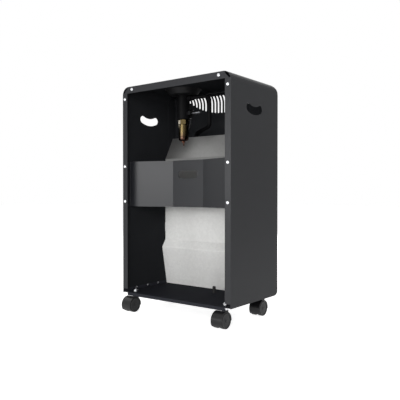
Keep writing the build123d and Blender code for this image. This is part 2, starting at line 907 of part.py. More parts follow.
def manifold_brackets():
    """Two folded straps from the manifold to the back of the front panel."""
    seat_y = front_y + sheet
    bar_y = manifold_y - manifold_size / 2
    z = manifold_z - manifold_size / 2
    line = [
        (seat_y, z - 2 * manifold_size),
        (seat_y, z - seat_gap),
        (manifold_y + manifold_size / 2, z - seat_gap),
    ]
    section = Plane.YZ * folded(line, bend, sheet, Side.RIGHT)
    strap = extrude(section, manifold_size, both=True)
    lug = block(
        (-manifold_size, manifold_size),
        (bar_y - seat_gap - sheet, bar_y - seat_gap),
        (z - seat_gap - sheet / 2, manifold_z),
    )
    x = tray_pitch / 2
    return Compound(pair(Pos(x, 0, 0) * (strap + lug)))


# ---------------------------------------------------------------- control
def control_dish():
    """Round pressed recess in the top, with a rolled rim and a hole for the valve."""
    radius = dish_diameter / 2
    line = [
        (radius + dish_rim, top_z),
        (radius - dish_sheet, top_z),
        (radius - dish_sheet - dish_taper, dish_under_z),
        (neck_diameter / 2 + running_gap, dish_under_z),
    ]
    section = Plane.XZ * folded(line, bend, dish_sheet, Side.RIGHT)
    return Pos(control_x, control_y, 0) * revolve(section, axis=Axis.Z)


def control_at(z):
    """Place on the control's axis."""
    return Pos(control_x, control_y, z)


def valve_body():
    """Black gas valve: neck, barrel and side bosses, bored for its plug and spindle."""
    barrel = control_at(dish_under_z - valve_length) * bar(valve_diameter / 2, valve_length)
    barrel = chamfer(barrel.edges().filter_by(GeomType.CIRCLE), sheet)
    neck_low = dish_under_z - valve_length / 4
    neck = control_at(neck_low) * bar(
        neck_diameter / 2, dish_floor_z + neck_height - neck_low
    )
    outlet = rod(
        (control_x, control_y, dish_under_z - outlet_drop),
        (-1, 0, 0),
        outlet_boss / 2,
        valve_diameter / 2 + outlet_reach,
    )
    inlet = rod(
        (control_x, control_y, dish_under_z - inlet_drop),
        (-1, 0, 0),
        inlet_boss / 2,
        valve_diameter / 2 + outlet_reach,
    )
    plug_low = dish_under_z - plug_drop - plug_length - seat_gap
    plug_bore = control_at(plug_low) * bar(
        plug_diameter / 2 + running_gap, plug_length + 2 * seat_gap
    )
    spindle_bore = control_at(plug_low) * bar(spindle_diameter / 2 + seat_gap, big)
    return barrel + neck + outlet + inlet - plug_bore - spindle_bore


def valve_plug():
    """Gas plug, turned by the spindle that slides in it."""
    low = dish_under_z - plug_drop - plug_length
    plug = control_at(low) * bar(plug_diameter / 2, plug_length)
    socket_low = low + plug_length - spindle_seat - push_travel - seat_gap
    return plug - control_at(socket_low) * bar(spindle_diameter / 2 + running_gap, big)


def spindle_low_z():
    """Lower end of the spindle at rest."""
    return dish_under_z - plug_drop - spindle_seat


def knob_low_z():
    """Lower rim of the knob at rest."""
    return dish_floor_z + knob_gap


def valve_spindle():
    """Spindle from the plug up into the knob."""
    high = knob_low_z() + knob_height - knob_wall
    length = high - spindle_low_z()
    return control_at(spindle_low_z()) * bar(spindle_diameter / 2, length)


def control_knob():
    """Hollow round knob with a bar grip across its top."""
    low = knob_low_z()
    radius = knob_diameter / 2
    section = Polyline(
        (0, 0),
        (radius, 0),
        (radius - knob_skirt_taper, knob_height),
        (0, knob_height),
        close=True,
    )
    knob = control_at(low) * revolve(Plane.XZ * make_face(section), axis=Axis.Z)
    knob = fillet(knob.edges().group_by(Axis.Z)[-1], knob_wall)
    grip = extrude(SlotOverall(knob_diameter - 3 * knob_wall, knob_grip_width), knob_grip_height)
    grip = chamfer(grip.edges().group_by(Axis.Z)[-1], knob_wall / 2)
    knob += control_at(low + knob_height - sheet / 2) * Rot(0, 0, 90) * grip
    hollow = control_at(low) * bar(radius - knob_skirt_taper - knob_wall, knob_height / 2)
    socket = control_at(low) * bar(
        spindle_diameter / 2 + running_gap, knob_height - knob_wall + seat_gap
    )
    sleeve = control_at(low + push_travel + sheet) * bar(
        spindle_diameter / 2 + knob_wall, knob_height / 2 - push_travel
    )
    return knob - hollow + sleeve - socket


def valve_lock_nut():
    """Thin nut on the neck that clamps the valve to the dish."""
    nut = hexagon(lock_nut_width, lock_nut_height)
    bore = bar(neck_diameter / 2 + running_gap, lock_nut_height)
    return control_at(dish_floor_z) * (nut - bore)


def magnet_housing():
    """Brass cylinder under the valve, with a hexagon at the top and a domed lower end."""
    high = dish_under_z - valve_length
    hexagonal = control_at(high - magnet_hex) * hexagon(magnet_hex_width, magnet_hex)
    barrel = bar(magnet_diameter / 2, magnet_length - magnet_hex)
    barrel = fillet(barrel.edges().group_by(Axis.Z)[0], magnet_diameter / 4)
    barrel = chamfer(barrel.edges().group_by(Axis.Z)[-1], sheet)
    return hexagonal + control_at(high - magnet_length) * barrel


def lead_nut():
    """Small nut that ends the thermocouple lead under the housing."""
    z = dish_under_z - valve_length - magnet_length - lead_nut_height
    nut = control_at(z) * hexagon(lead_nut_width, lead_nut_height)
    bore = control_at(z) * bar(lead_diameter / 2 + running_gap, lead_nut_height)
    return nut - bore


def inlet_nozzle():
    """Barbed hose nozzle with its nut, on the inlet boss."""
    x = control_x - valve_diameter / 2 - outlet_reach
    seat = Plane(origin=(x, control_y, dish_under_z - inlet_drop), z_dir=(-1, 0, 0))
    reach = nozzle_nut_length + nozzle_length
    nut = hexagon(nozzle_nut, nozzle_nut_length)
    nut = chamfer(nut.faces().sort_by(Axis.Z)[-1].edges(), 1)
    barb = Cone(nozzle_barb / 2, nozzle_diameter / 2, nozzle_barb / 2)
    barbs = [Pos(0, 0, reach - lift) * barb for lift in (6, 6 + nozzle_barb * 0.7)]
    bore = Pos(0, 0, nozzle_nut_length) * bar(nozzle_bore / 2, nozzle_length)
    return seat * (nut + bar(nozzle_diameter / 2, reach) + barbs - bore)


def outlet_end():
    """Point where the burner pipe leaves the valve's outlet boss."""
    return (
        control_x - valve_diameter / 2 - outlet_reach,
        control_y,
        dish_under_z - outlet_drop,
    )


def outlet_gland():
    """Nut round the burner pipe at the valve."""
    x, y, z = outlet_end()
    nut = Plane(origin=(x, y, z), z_dir=(-1, 0, 0)) * hexagon(outlet_nut, outlet_nut_length)
    bore = rod((x, y, z), (-1, 0, 0), burner_pipe_diameter / 2 + running_gap, outlet_nut_length)
    return nut - bore


def burner_pipe():
    """Pipe from the valve in a loop, over the shield and round to the manifold's end."""
    x, y, z = outlet_end()
    pass_z = shield_top_z + pipe_pass_lift
    run_y = front_y + pipe_run_depth
    run_z = shield_top_z - pipe_run_drop
    end_x = -manifold_length / 2 - burner_pipe_stub
    points = [
        (x, y, z),
        (pipe_loop_x, y, z),
        (pipe_loop_x, y, z - pipe_loop_drop),
        (pipe_pass_x, front_y + pipe_pass_depth, pass_z),
        (pipe_pass_x, run_y, run_z),
        (end_x, run_y, run_z),
        (end_x, manifold_y, manifold_z),
        (-manifold_length / 2, manifold_y, manifold_z),
    ]
    return tube(points, burner_pipe_diameter / 2, burner_pipe_bend)


# ---------------------------------------------------------------- pilot group
def pilot_plate():
    """Plate under the outer tray that carries the pilot, the probe and the electrode."""
    plate = block(
        (pilot_x - pilot_margin, pilot_x + 2 * pilot_pitch + pilot_margin),
        (pilot_y - pilot_margin, burner_face_y + plaque_thickness - tray_sheet - seat_gap),
        (pilot_plate_z, pilot_plate_z + sheet),
    )
    plate = fillet(plate.edges().filter_by(Axis.Z), pilot_margin / 2)
    diameters = (pilot_diameter, probe_diameter, spark_diameter)
    for place, diameter in enumerate(diameters):
        x = pilot_x + place * pilot_pitch
        plate -= rod((x, pilot_y, 0), (0, 0, 1), diameter / 2 + running_gap, big)
    return plate


def pilot_burner():
    """Pilot tube with a shoulder on the plate and a slot across its crown."""
    low = pilot_plate_z - pilot_tail
    body = rod((pilot_x, pilot_y, low), (0, 0, 1), pilot_diameter / 2, pilot_tail + pilot_height)
    shoulder = rod(
        (pilot_x, pilot_y, pilot_plate_z + sheet),
        (0, 0, 1),
        pilot_diameter / 2 + 1,
        pilot_diameter / 2,
    )
    top = low + pilot_tail + pilot_height
    slot = block(
        (pilot_x - 1, pilot_x + 1),
        (pilot_y - pilot_diameter, pilot_y + pilot_diameter),
        (top - pilot_diameter / 2, top + 1),
    )
    socket = rod(
        (pilot_x, pilot_y, low),
        (0, 0, 1),
        pilot_pipe_diameter / 2 + running_gap,
        pilot_tail,
    )
    return body + shoulder - slot - socket


def pilot_pipe():
    """Thin pipe from the valve's pilot port, over the shield, down beside the trays."""
    port_z = dish_under_z - pilot_port_drop
    pass_z = shield_top_z + pipe_pass_lift
    riser_y = front_y + pipe_run_depth + pilot_pipe_diameter
    turn_z = pilot_plate_z - pilot_tail - 2 * pilot_pipe_bend
    points = [
        (control_x, control_y - valve_diameter / 2, port_z),
        (control_x, control_y - valve_diameter / 2 - pilot_pipe_stub, port_z),
        (riser_x - pilot_pipe_slant, front_y + pilot_pipe_depth, pass_z + pilot_pipe_lift),
        (riser_x - pilot_pipe_bend, front_y + pipe_pass_depth, pass_z),
        (riser_x, riser_y, shield_top_z - pipe_run_drop),
        (riser_x, riser_y, turn_z),
        (pilot_x, pilot_y, turn_z),
        (pilot_x, pilot_y, pilot_plate_z - seat_gap),
    ]
    return tube(points, pilot_pipe_diameter / 2, pilot_pipe_bend)


def thermocouple():
    """Probe beside the pilot and its lead, held from the plate to the valve's lower nut."""
    x = pilot_x + pilot_pitch
    probe = rod(
        (x, pilot_y, pilot_plate_z - pilot_tail),
        (0, 0, 1),
        probe_diameter / 2,
        pilot_tail + probe_height,
    )
    probe = fillet(probe.edges().group_by(Axis.Z)[-1], probe_diameter / 3)
    nut_z = dish_under_z - valve_length - magnet_length - lead_nut_height
    pass_z = shield_top_z + pipe_pass_lift
    riser_y = front_y + pipe_run_depth + 3 * pilot_pipe_diameter
    turn_z = pilot_plate_z - pilot_tail - 4 * lead_bend
    loop_z = nut_z - lead_loop
    points = [
        (control_x, control_y, nut_z + lead_nut_height),
        (control_x, control_y, loop_z),
        (control_x + lead_back_x, control_y - lead_back_y, loop_z),
        (control_x + lead_back_x, control_y - lead_back_y, pass_z + 2 * lead_bend),
        (lead_riser_x - lead_bend, front_y + pipe_pass_depth + 2, pass_z - 2),
        (lead_riser_x, riser_y, shield_top_z - pipe_run_drop),
        (lead_riser_x, riser_y, turn_z),
        (x, pilot_y, turn_z),
        (x, pilot_y, pilot_plate_z - pilot_tail),
    ]
    return tube(points, lead_diameter / 2, lead_bend) + probe


def spark_electrode():
    """Ceramic electrode with a bent wire over the pilot's crown."""
    x = pilot_x + 2 * pilot_pitch
    low = pilot_plate_z - pilot_tail
    body = rod((x, pilot_y, low), (0, 0, 1), spark_diameter / 2, pilot_tail + spark_height)
    collar = rod(
        (x, pilot_y, pilot_plate_z + sheet),
        (0, 0, 1),
        spark_diameter / 2 + 1,
        spark_diameter / 2,
    )
    high = low + pilot_tail + spark_height
    wire = tube(
        [
            (x, pilot_y, high),
            (x, pilot_y, high + spark_tip),
            (x - spark_tip, pilot_y - spark_tip / 3, high + spark_tip),
        ],
        spark_wire / 2,
        spark_wire * 1.5,
    )
    return body + collar + wire


nodes = {
    "cabinet_wrap": cabinet_wrap,
    "front_panel": front_panel,
    "base_tray": base_tray,
    "rear_crossbar": rear_crossbar,
    "heat_shield": heat_shield,
    "flange_screws": flange_screws,
    "foot_screws": foot_screws,
    "bottle_peg": bottle_peg,
    "caster_stems": caster_stems,
    "caster_nuts": caster_nuts,
    "burner_cradle": burner_cradle,
    "reflector": reflector,
    "guard_grille": guard_grille,
    "window_frame": window_frame,
    "gas_manifold": gas_manifold,
    "injectors": injectors,
    "manifold_brackets": manifold_brackets,
    "control_dish": control_dish,
    "valve_body": valve_body,
    "valve_plug": valve_plug,
    "valve_spindle": valve_spindle,
    "control_knob": control_knob,
    "valve_lock_nut": valve_lock_nut,
    "magnet_housing": magnet_housing,
    "lead_nut": lead_nut,
    "inlet_nozzle": inlet_nozzle,
    "outlet_gland": outlet_gland,
    "burner_pipe": burner_pipe,
    "pilot_plate": pilot_plate,
    "pilot_burner": pilot_burner,
    "pilot_pipe": pilot_pipe,
    "thermocouple": thermocouple,
    "spark_electrode": spark_electrode,
}
for name, make in nodes.items():
    save(name, make())

for number, x in enumerate(tray_places(), start=1):
    save(f"burner_tray_{number}", Pos(x, 0, 0) * burner_tray())
    save(f"ceramic_plaque_{number}", Pos(x, 0, 0) * ceramic_plaque())

for number, (x, y) in enumerate(stem_places(), start=1):
    place = Pos(x, y, 0)
    save(f"caster_hood_{number}", place * caster_hood())
    save(f"caster_axle_{number}", place * caster_axle())
    right, left = pair(caster_wheel())
    save(f"caster_wheel_{number}a", place * right)
    save(f"caster_wheel_{number}b", place * left)
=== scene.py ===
"""Looks of the portable gas cabinet heater: detailed pieces, finishes, light and camera.

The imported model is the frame. Its sheets, pipes and brackets keep their solids and get their
finishes here. The heat shield, screws, studs, wheels, tiles, knob, brass housing and peg are
drawn again with the detail that their solids leave out. Lengths are in millimetres, and in
the studio in metres. +Z is up, and the open rear faces +Y.
"""

import logging
from abc import ABC, abstractmethod
from dataclasses import dataclass, field, replace
from enum import Enum
from typing import Callable, Sequence

import bpy
import numpy as np
from mathutils import Matrix, Vector


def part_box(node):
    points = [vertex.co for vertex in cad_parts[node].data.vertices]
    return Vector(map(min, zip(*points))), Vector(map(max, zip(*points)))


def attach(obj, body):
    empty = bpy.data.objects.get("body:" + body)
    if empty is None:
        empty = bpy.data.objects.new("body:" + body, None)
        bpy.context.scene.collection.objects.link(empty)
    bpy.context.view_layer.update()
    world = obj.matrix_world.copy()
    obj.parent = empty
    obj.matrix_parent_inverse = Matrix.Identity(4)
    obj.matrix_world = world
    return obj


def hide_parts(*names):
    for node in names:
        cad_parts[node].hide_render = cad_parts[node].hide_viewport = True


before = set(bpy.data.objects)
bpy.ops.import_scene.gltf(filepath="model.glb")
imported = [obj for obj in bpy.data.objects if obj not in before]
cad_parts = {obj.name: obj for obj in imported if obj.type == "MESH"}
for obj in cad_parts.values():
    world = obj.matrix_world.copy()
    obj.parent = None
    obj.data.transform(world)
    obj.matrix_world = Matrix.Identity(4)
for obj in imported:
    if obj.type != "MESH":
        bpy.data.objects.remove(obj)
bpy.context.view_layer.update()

MM = 0.001
LOG = logging.getLogger("heater")

Array = np.ndarray
Colour = tuple[float, float, float]
Rule = Callable[[Array, Array, Array], tuple[Array, Array]]


class Slot(Enum):
    """The record's material slots."""

    BRIGHT_STEEL = "bright_steel"
    ZINC = "zinc"
    BRASS = "brass"
    CERAMIC = "ceramic"
    PLASTIC = "black_plastic"
    RUBBER = "rubber"


class Corner(Enum):
    """Corners of the cabinet that stand on a caster, with their numbers in the model."""

    REAR_LEFT = ("rear_left", 1)
    REAR_RIGHT = ("rear_right", 2)
    FRONT_LEFT = ("front_left", 3)
    FRONT_RIGHT = ("front_right", 4)


# ---------------------------------------------------------------- surfaces
def _no_faces(corners: int) -> Array:
    """Empty face list for faces of so many corners."""
    return np.zeros((0, corners), int)


@dataclass
class Surface:
    """Points of a surface and its faces of four and three corners, as whole arrays."""

    points: Array
    quads: Array = field(default_factory=lambda: _no_faces(4))
    triangles: Array = field(default_factory=lambda: _no_faces(3))

    @classmethod
    def from_grid(cls, grid: Array, ring: bool = True, closed: bool = False) -> "Surface":
        """Join a grid of points into quads.

        Args:
            grid: Points, as rows by columns by 3.
            ring: Whether the last column joins the first.
            closed: Whether the last row joins the first.

        Returns:
            The surface of the grid.
        """
        rows, columns = grid.shape[:2]
        number = np.arange(rows * columns).reshape(rows, columns)
        if closed:
            number = np.vstack([number, number[:1]])
        if ring:
            number = np.hstack([number, number[:, :1]])
        corners = (number[:-1, :-1], number[1:, :-1], number[1:, 1:], number[:-1, 1:])
        return cls(grid.reshape(-1, 3), np.stack(corners, axis=-1).reshape(-1, 4))

    @classmethod
    def joined(cls, parts: Sequence["Surface"]) -> "Surface":
        """Put all the parts in one list of points and faces.

        Args:
            parts: The surfaces to join.

        Returns:
            One surface of them all.
        """
        starts = np.cumsum([0] + [len(part.points) for part in parts[:-1]])
        return cls(
            np.concatenate([part.points for part in parts]),
            np.concatenate([part.quads + start for part, start in zip(parts, starts)]),
            np.concatenate([part.triangles + start for part, start in zip(parts, starts)]),
        )

    def welded(self) -> "Surface":
        """Merge the points that share a place, and drop the faces that this collapses.

        Returns:
            The welded surface.
        """
        _, first, number = np.unique(
            np.round(self.points, 5), axis=0, return_index=True, return_inverse=True
        )
        number = number.reshape(-1)
        quads, triangles = number[self.quads], number[self.triangles]
        double = quads == np.roll(quads, -1, axis=1)
        count = double.sum(axis=1)
        cut = quads[count == 1][~double[count == 1]].reshape(-1, 3)
        triangles = np.concatenate([triangles, cut])
        whole = (triangles != np.roll(triangles, -1, axis=1)).all(axis=1)
        return Surface(self.points[first], quads[count == 0], triangles[whole])

    def outward(self) -> "Surface":
        """Turn the closed surface's faces outwards, by the sign of its volume.

        Returns:
            The surface with its faces outwards.
        """
        halves = (self.quads[:, :3], self.quads[:, [0, 2, 3]], self.triangles)
        a, b, c = np.moveaxis(self.points[np.concatenate(halves)], 1, 0)
        if np.einsum("ij,ij->", a, np.cross(b, c)) >= 0:
            return self
        return replace(self, quads=self.quads[:, ::-1], triangles=self.triangles[:, ::-1])

    def moved(self, x: float, y: float, z: float) -> "Surface":
        """The surface moved by a step."""
        return replace(self, points=self.points + np.array((x, y, z)))

    def aimed(self, axis: Sequence[float]) -> "Surface":
        """The surface turned so that its own Z runs along an axis."""
        turn = np.array(Vector(axis).to_track_quat("Z", "Y").to_matrix())
        return replace(self, points=self.points @ turn.T)


def turned(profile: Sequence[tuple[float, float]], segments: int, rule: Rule | None = None,
           closed: bool = False) -> Surface:
    """Turned form: each profile point (radius, height) runs round Z in a circle.

    A point is (R cos a, R sin a, H), where a goes round in equal steps. A rule may change R
    and H from the radius, the height and the angle, for flutes, threads, flats and recesses.

    Args:
        profile: Radius and height of each point, from axis to axis, or all round a ring.
        segments: Steps round the axis.
        rule: Change of radius and height over the surface.
        closed: Whether the profile closes on itself.

    Returns:
        The turned surface, standing on Z.
    """
    line = np.array(profile, float)
    angle = np.linspace(0, 2 * np.pi, segments, endpoint=False)[None, :]
    radius = np.repeat(line[:, :1], segments, axis=1)
    height = np.repeat(line[:, 1:], segments, axis=1)
    if rule is not None:
        radius, height = rule(radius, height, angle + 0 * radius)
    grid = np.stack((radius * np.cos(angle), radius * np.sin(angle), height), axis=-1)
    return Surface.from_grid(grid, closed=closed)


def hex_rule(flats: float, low: float, high: float, bore: float = 0.0) -> Rule:
    """Flats of a nut: R is the lesser of the hexagon's radius and that of its end chamfers.

    The hexagon's radius is half the width over the flats, divided by the cosine of the angle
    from the middle of the nearest flat. The chamfers are cones of 30 degrees on both ends.

    Args:
        flats: Width over the flats.
        low: Height of the lower end.
        high: Height of the upper end.
        bore: Radius of the bore, whose points stay as they are.

    Returns:
        The rule for a turned form.
    """

    def rule(radius: Array, height: Array, angle: Array) -> tuple[Array, Array]:
        """Radius cut by the flats and chamfers, and the height as it is.

        Args:
            radius: Radius of each point.
            height: Height of each point.
            angle: Angle of each point round the axis.

        Returns:
            The new radius and height.
        """
        sixth = np.pi / 3
        side = flats / 2 / np.cos((angle + sixth / 2) % sixth - sixth / 2)
        end = np.minimum(height - low, high - height)
        cone = flats / 2 * 0.97 + end / np.tan(np.pi / 6)
        cut = np.minimum(np.minimum(side, cone), radius)
        return np.where(radius > bore + 0.2, cut, radius), height

    return rule


def chamfer_levels(share: float) -> Array:
    """Heights from 0 to 1 for a hexagon, close together in the share at either end.

    Args:
        share: Part of the height that each end's chamfer takes at most.

    Returns:
        Twelve rising heights.
    """
    ends, middle = np.linspace(0, share, 4), np.linspace(0.2, 0.8, 4)
    return np.concatenate([ends, middle, np.linspace(1 - share, 1, 4)])


def nut(flats: float, thickness: float, bore: float) -> Surface:
    """Chamfered hexagonal nut on Z, with its lower face at zero.

    Args:
        flats: Width over the flats.
        thickness: Height of the nut.
        bore: Radius of its hole.

    Returns:
        The closed nut.
    """
    levels = chamfer_levels(0.12)
    profile = [(bore, 0.0), *[(flats, level * thickness) for level in levels], (bore, thickness)]
    return turned(profile, 72, hex_rule(flats, 0, thickness, bore), closed=True)


def rounded_outline(half_x: float, half_y: float, corner: float, steps: int = 6) -> Array:
    """Rounded rectangle: a quarter circle about each corner's centre.

    Args:
        half_x: Half the length.
        half_y: Half the width.
        corner: Radius of the corners.
        steps: Points along each corner.

    Returns:
        The (x, y) points, all round.
    """
    quarter = np.linspace(0, np.pi / 2, steps)
    angle = (quarter[None, :] + np.arange(4)[:, None] * np.pi / 2).reshape(-1)
    sign_x = np.repeat(np.array((1, -1, -1, 1)), steps)
    sign_y = np.repeat(np.array((1, 1, -1, -1)), steps)
    x = sign_x * (half_x - corner) + corner * np.cos(angle)
    y = sign_y * (half_y - corner) + corner * np.sin(angle)
    return np.stack((x, y), axis=-1)


def slab(half_x: float, half_y: float, corner: float,
         levels: Sequence[tuple[float, float]], steps: int = 6) -> Surface:
    """Rounded block built up of outlines, each drawn in by an inset at its height.

    The first and last outlines shrink to the middle line, which closes both ends.

    Args:
        half_x: Half the length.
        half_y: Half the width, which isn't over half_x.
        corner: Radius of the upright corners.
        levels: Inset and height of each outline, from the bottom to the top.
        steps: Points along each corner.

    Returns:
        The closed block on Z.
    """
    ends = [(half_y, levels[0][1]), *levels, (half_y, levels[-1][1])]
    rows = [
        np.column_stack((
            rounded_outline(half_x - inset, half_y - inset, max(corner - inset, 0.0), steps),
            np.full(4 * steps, height),
        ))
        for inset, height in ends
    ]
    return Surface.from_grid(np.array(rows))


def sheet_between(front: Array, back: Array) -> Surface:
    """Closed thin shell between two grids of points, with its edges joined all round.

    Each row runs along the front's columns and returns along the back's, and the first and
    last rows are closed by a strip of quads from front to back.

    Args:
        front: Points of one face, rows by columns by 3.
        back: Points of the other face, in the same order.

    Returns:
        The closed shell.
    """
    shell = Surface.from_grid(np.concatenate([front, back[:, ::-1]], axis=1))
    rows, columns = front.shape[:2]
    near = np.arange(columns - 1)
    far = 2 * columns - 1 - near
    cap = np.stack((near, near + 1, far - 1, far), axis=-1)
    last = (rows - 1) * 2 * columns
    quads = np.concatenate([shell.quads, cap, (cap + last)[:, ::-1]])
    return Surface(shell.points, quads)


def eased_line(corners: Sequence[tuple[float, float]], radius: float, steps: int,
               run: int) -> tuple[Array, Array]:
    """Line through corners with each inner corner rounded by an arc.

    An arc starts and ends where its tangents leave the two straight runs, at a setback of the
    radius times the tangent of half the turn, and the runs between are divided evenly.

    Args:
        corners: Points of the line, as pairs.
        radius: Radius of the arcs.
        steps: Points along each arc.
        run: Points inside each straight run.

    Returns:
        The points of the line, and the unit normal to its left at each of them.
    """
    p = np.array(corners, float)
    way = np.diff(p, axis=0)
    way /= np.linalg.norm(way, axis=1, keepdims=True)
    before, after = way[:-1], way[1:]
    cross = before[:, 0] * after[:, 1] - before[:, 1] * after[:, 0]
    turn = np.arctan2(cross, (before * after).sum(1))
    setback = radius * np.tan(np.abs(turn) / 2)
    left = np.stack((-before[:, 1], before[:, 0]), axis=-1)
    bend_side = np.sign(turn)[:, None]
    centre = p[1:-1] - before * setback[:, None] + left * bend_side * radius
    part = np.linspace(0, 1, steps)[None, :] * turn[:, None]
    cos, sin = np.cos(part)[..., None], np.sin(part)[..., None]
    across = np.stack((-left[:, 1], left[:, 0]), axis=-1)
    normals = left[:, None] * cos + across[:, None] * sin
    arcs = centre[:, None] - normals * bend_side[:, None] * radius
    starts = np.vstack([p[:1], arcs[:, -1]])
    ends = np.vstack([arcs[:, 0], p[-1:]])
    share = np.linspace(0, 1, run + 2)[1:-1]
    runs = starts[:, None] + (ends - starts)[:, None] * share[:, None]
    lefts = np.stack((-way[:, 1], way[:, 0]), axis=-1)
    points = [p[:1]]
    sides = [lefts[:1]]
    for number in range(len(way)):
        points.append(runs[number])
        sides.append(np.repeat(lefts[number:number + 1], run, axis=0))
        if number < len(arcs):
            points.append(arcs[number])
            sides.append(normals[number])
    points.append(p[-1:])
    sides.append(lefts[-1:])
    return np.concatenate(points), np.concatenate(sides)


# ---------------------------------------------------------------- shader maths
@dataclass(frozen=True)
class Term:
    """A number socket. Python's operators on it add Math nodes."""

    board: "Board"
    socket: bpy.types.NodeSocket

    def __add__(self, other: "Number") -> "Term":
        """Sum."""
        return self.board.math("ADD", self, other)

    def __sub__(self, other: "Number") -> "Term":
        """Difference."""
        return self.board.math("SUBTRACT", self, other)

    def __rsub__(self, other: "Number") -> "Term":
        """Difference, with this term taken away."""
        return self.board.math("SUBTRACT", other, self)

    def __mul__(self, other: "Number") -> "Term":
        """Product."""
        return self.board.math("MULTIPLY", self, other)

    __radd__ = __add__
    __rmul__ = __mul__


Number = Term | float


class Board:
    """One node tree, with short ways to add nodes to it."""

    def __init__(self, tree: bpy.types.NodeTree) -> None:
        """Empty the tree and keep it."""
        self.tree = tree
        tree.nodes.clear()

    def node(self, kind: str, settings: dict | None = None,
             sockets: dict | None = None) -> bpy.types.Node:
        """Add a node.

        Args:
            kind: Blender's type name of the node.
            settings: Its properties, set first.
            sockets: Values, terms or sockets for its inputs, by name or number.

        Returns:
            The node.
        """
        made = self.tree.nodes.new(kind)
        for name, value in (settings or {}).items():
            setattr(made, name, value)
        for name, value in (sockets or {}).items():
            value = value.socket if isinstance(value, Term) else value
            if isinstance(value, bpy.types.NodeSocket):
                self.tree.links.new(value, made.inputs[name])
            else:
                made.inputs[name].default_value = value
        return made

    def math(self, operation: str, first: Number, second: Number) -> Term:
        """Result of one Math node."""
        made = self.node("ShaderNodeMath", {"operation": operation}, {0: first, 1: second})
        return Term(self, made.outputs[0])

    def mix(self, factor: Number, first: object, second: object) -> bpy.types.NodeSocket:
        """Colour between two colours."""
        made = self.node("ShaderNodeMix", {"data_type": "RGBA"}, {0: factor, 6: first, 7: second})
        return made.outputs[2]

    def scaled(self, colour: bpy.types.NodeSocket, factor: Number) -> bpy.types.NodeSocket:
        """Colour times a number."""
        made = self.node(
            "ShaderNodeVectorMath", {"operation": "SCALE"}, {0: colour, "Scale": factor}
        )
        return made.outputs[0]

    def step(self, value: Number, low: float, high: float) -> Term:
        """Smooth rise from 0 to 1 as the value goes from low to high."""
        made = self.node(
            "ShaderNodeMapRange", {"interpolation_type": "SMOOTHSTEP"},
            {"Value": value, "From Min": low, "From Max": high},
        )
        return Term(self, made.outputs[0])


class MaterialBoard(Board):
    """Node tree of one material, with its shader and the object's coordinates."""

    def __init__(self, name: str) -> None:
        """Make the material and its shader.

        Args:
            name: Name of the material.
        """
        self.material = bpy.data.materials.new(name)
        self.material.use_nodes = True
        super().__init__(self.material.node_tree)
        self.shader = self.node("ShaderNodeBsdfPrincipled")
        self.node("ShaderNodeOutputMaterial", None, {"Surface": self.shader.outputs[0]})
        self.place = self.node("ShaderNodeTexCoord").outputs["Object"]

    def set(self, **sockets: object) -> None:
        """Set the shader's inputs.

        Args:
            sockets: Values, terms or sockets, by the input's name with _ for its spaces.
        """
        for name, value in sockets.items():
            value = value.socket if isinstance(value, Term) else value
            socket = self.shader.inputs[name.replace("_", " ")]
            if isinstance(value, bpy.types.NodeSocket):
                self.tree.links.new(value, socket)
            else:
                socket.default_value = value

    def spot(self, grain: float, stretch: Sequence[float], shift: float) -> bpy.types.NodeSocket:
        """Object coordinates in units of a grain, stretched along the axes."""
        made = self.node("ShaderNodeMapping", None, {
            "Vector": self.place,
            "Location": (shift, 0.7 * shift, -shift),
            "Scale": tuple(1 / (grain * MM * share) for share in stretch),
        })
        return made.outputs[0]

    def noise(self, grain: float, detail: float = 2.0, stretch: Sequence[float] = (1, 1, 1),
              shift: float = 0.0) -> Term:
        """Noise from 0 to 1.

        Args:
            grain: Width of a grain in millimetres, about.
            detail: Octaves of finer noise.
            stretch: Times that a grain is longer along each axis.
            shift: Step to another part of the noise.

        Returns:
            The noise.
        """
        made = self.node("ShaderNodeTexNoise", None, {
            "Vector": self.spot(grain, stretch, shift), "Scale": 1.0, "Detail": detail,
        })
        return Term(self, made.outputs[0])

    def flakes(self, grain: float) -> Term:
        """Flat random tone for each crystal.

        Args:
            grain: Width of a crystal in millimetres, about.

        Returns:
            The tone, from 0 to 1.
        """
        cells = self.node("ShaderNodeTexVoronoi", None, {
            "Vector": self.spot(grain, (1, 1, 1), 3.0), "Scale": 1.0,
        })
        parts = self.node("ShaderNodeSeparateColor", None, {0: cells.outputs["Color"]})
        return Term(self, parts.outputs[0])

    def along(self, axis: int) -> Term:
        """Object coordinate along one axis, in metres."""
        parts = self.node("ShaderNodeSeparateXYZ", None, {0: self.place})
        return Term(self, parts.outputs[axis])

    def rise(self, axis: int, low: float, high: float) -> Term:
        """Smooth rise from 0 to 1 along an axis, between two places in millimetres."""
        return self.step(self.along(axis), low * MM, high * MM)

    def bump(self, height: Number, depth: float) -> bpy.types.NodeSocket:
        """Normal from a height whose full range is a depth in millimetres."""
        made = self.node("ShaderNodeBump", None, {"Height": height, "Distance": depth * MM})
        return made.outputs[0]


def tone(red: float, green: float, blue: float, light: float = 1.0) -> tuple[float, ...]:
    """Linear colour of a screen colour.

    Args:
        red: Red, from 0 to 255.
        green: Green, from 0 to 255.
        blue: Blue, from 0 to 255.
        light: Share of light that the linear colour is multiplied by.

    Returns:
        The linear colour, with alpha.
    """
    screen = np.array((red, green, blue)) / 255
    linear = np.where(screen > 0.04045, ((screen + 0.055) / 1.055) ** 2.4, screen / 12.92)
    return (*(linear * light).tolist(), 1.0)


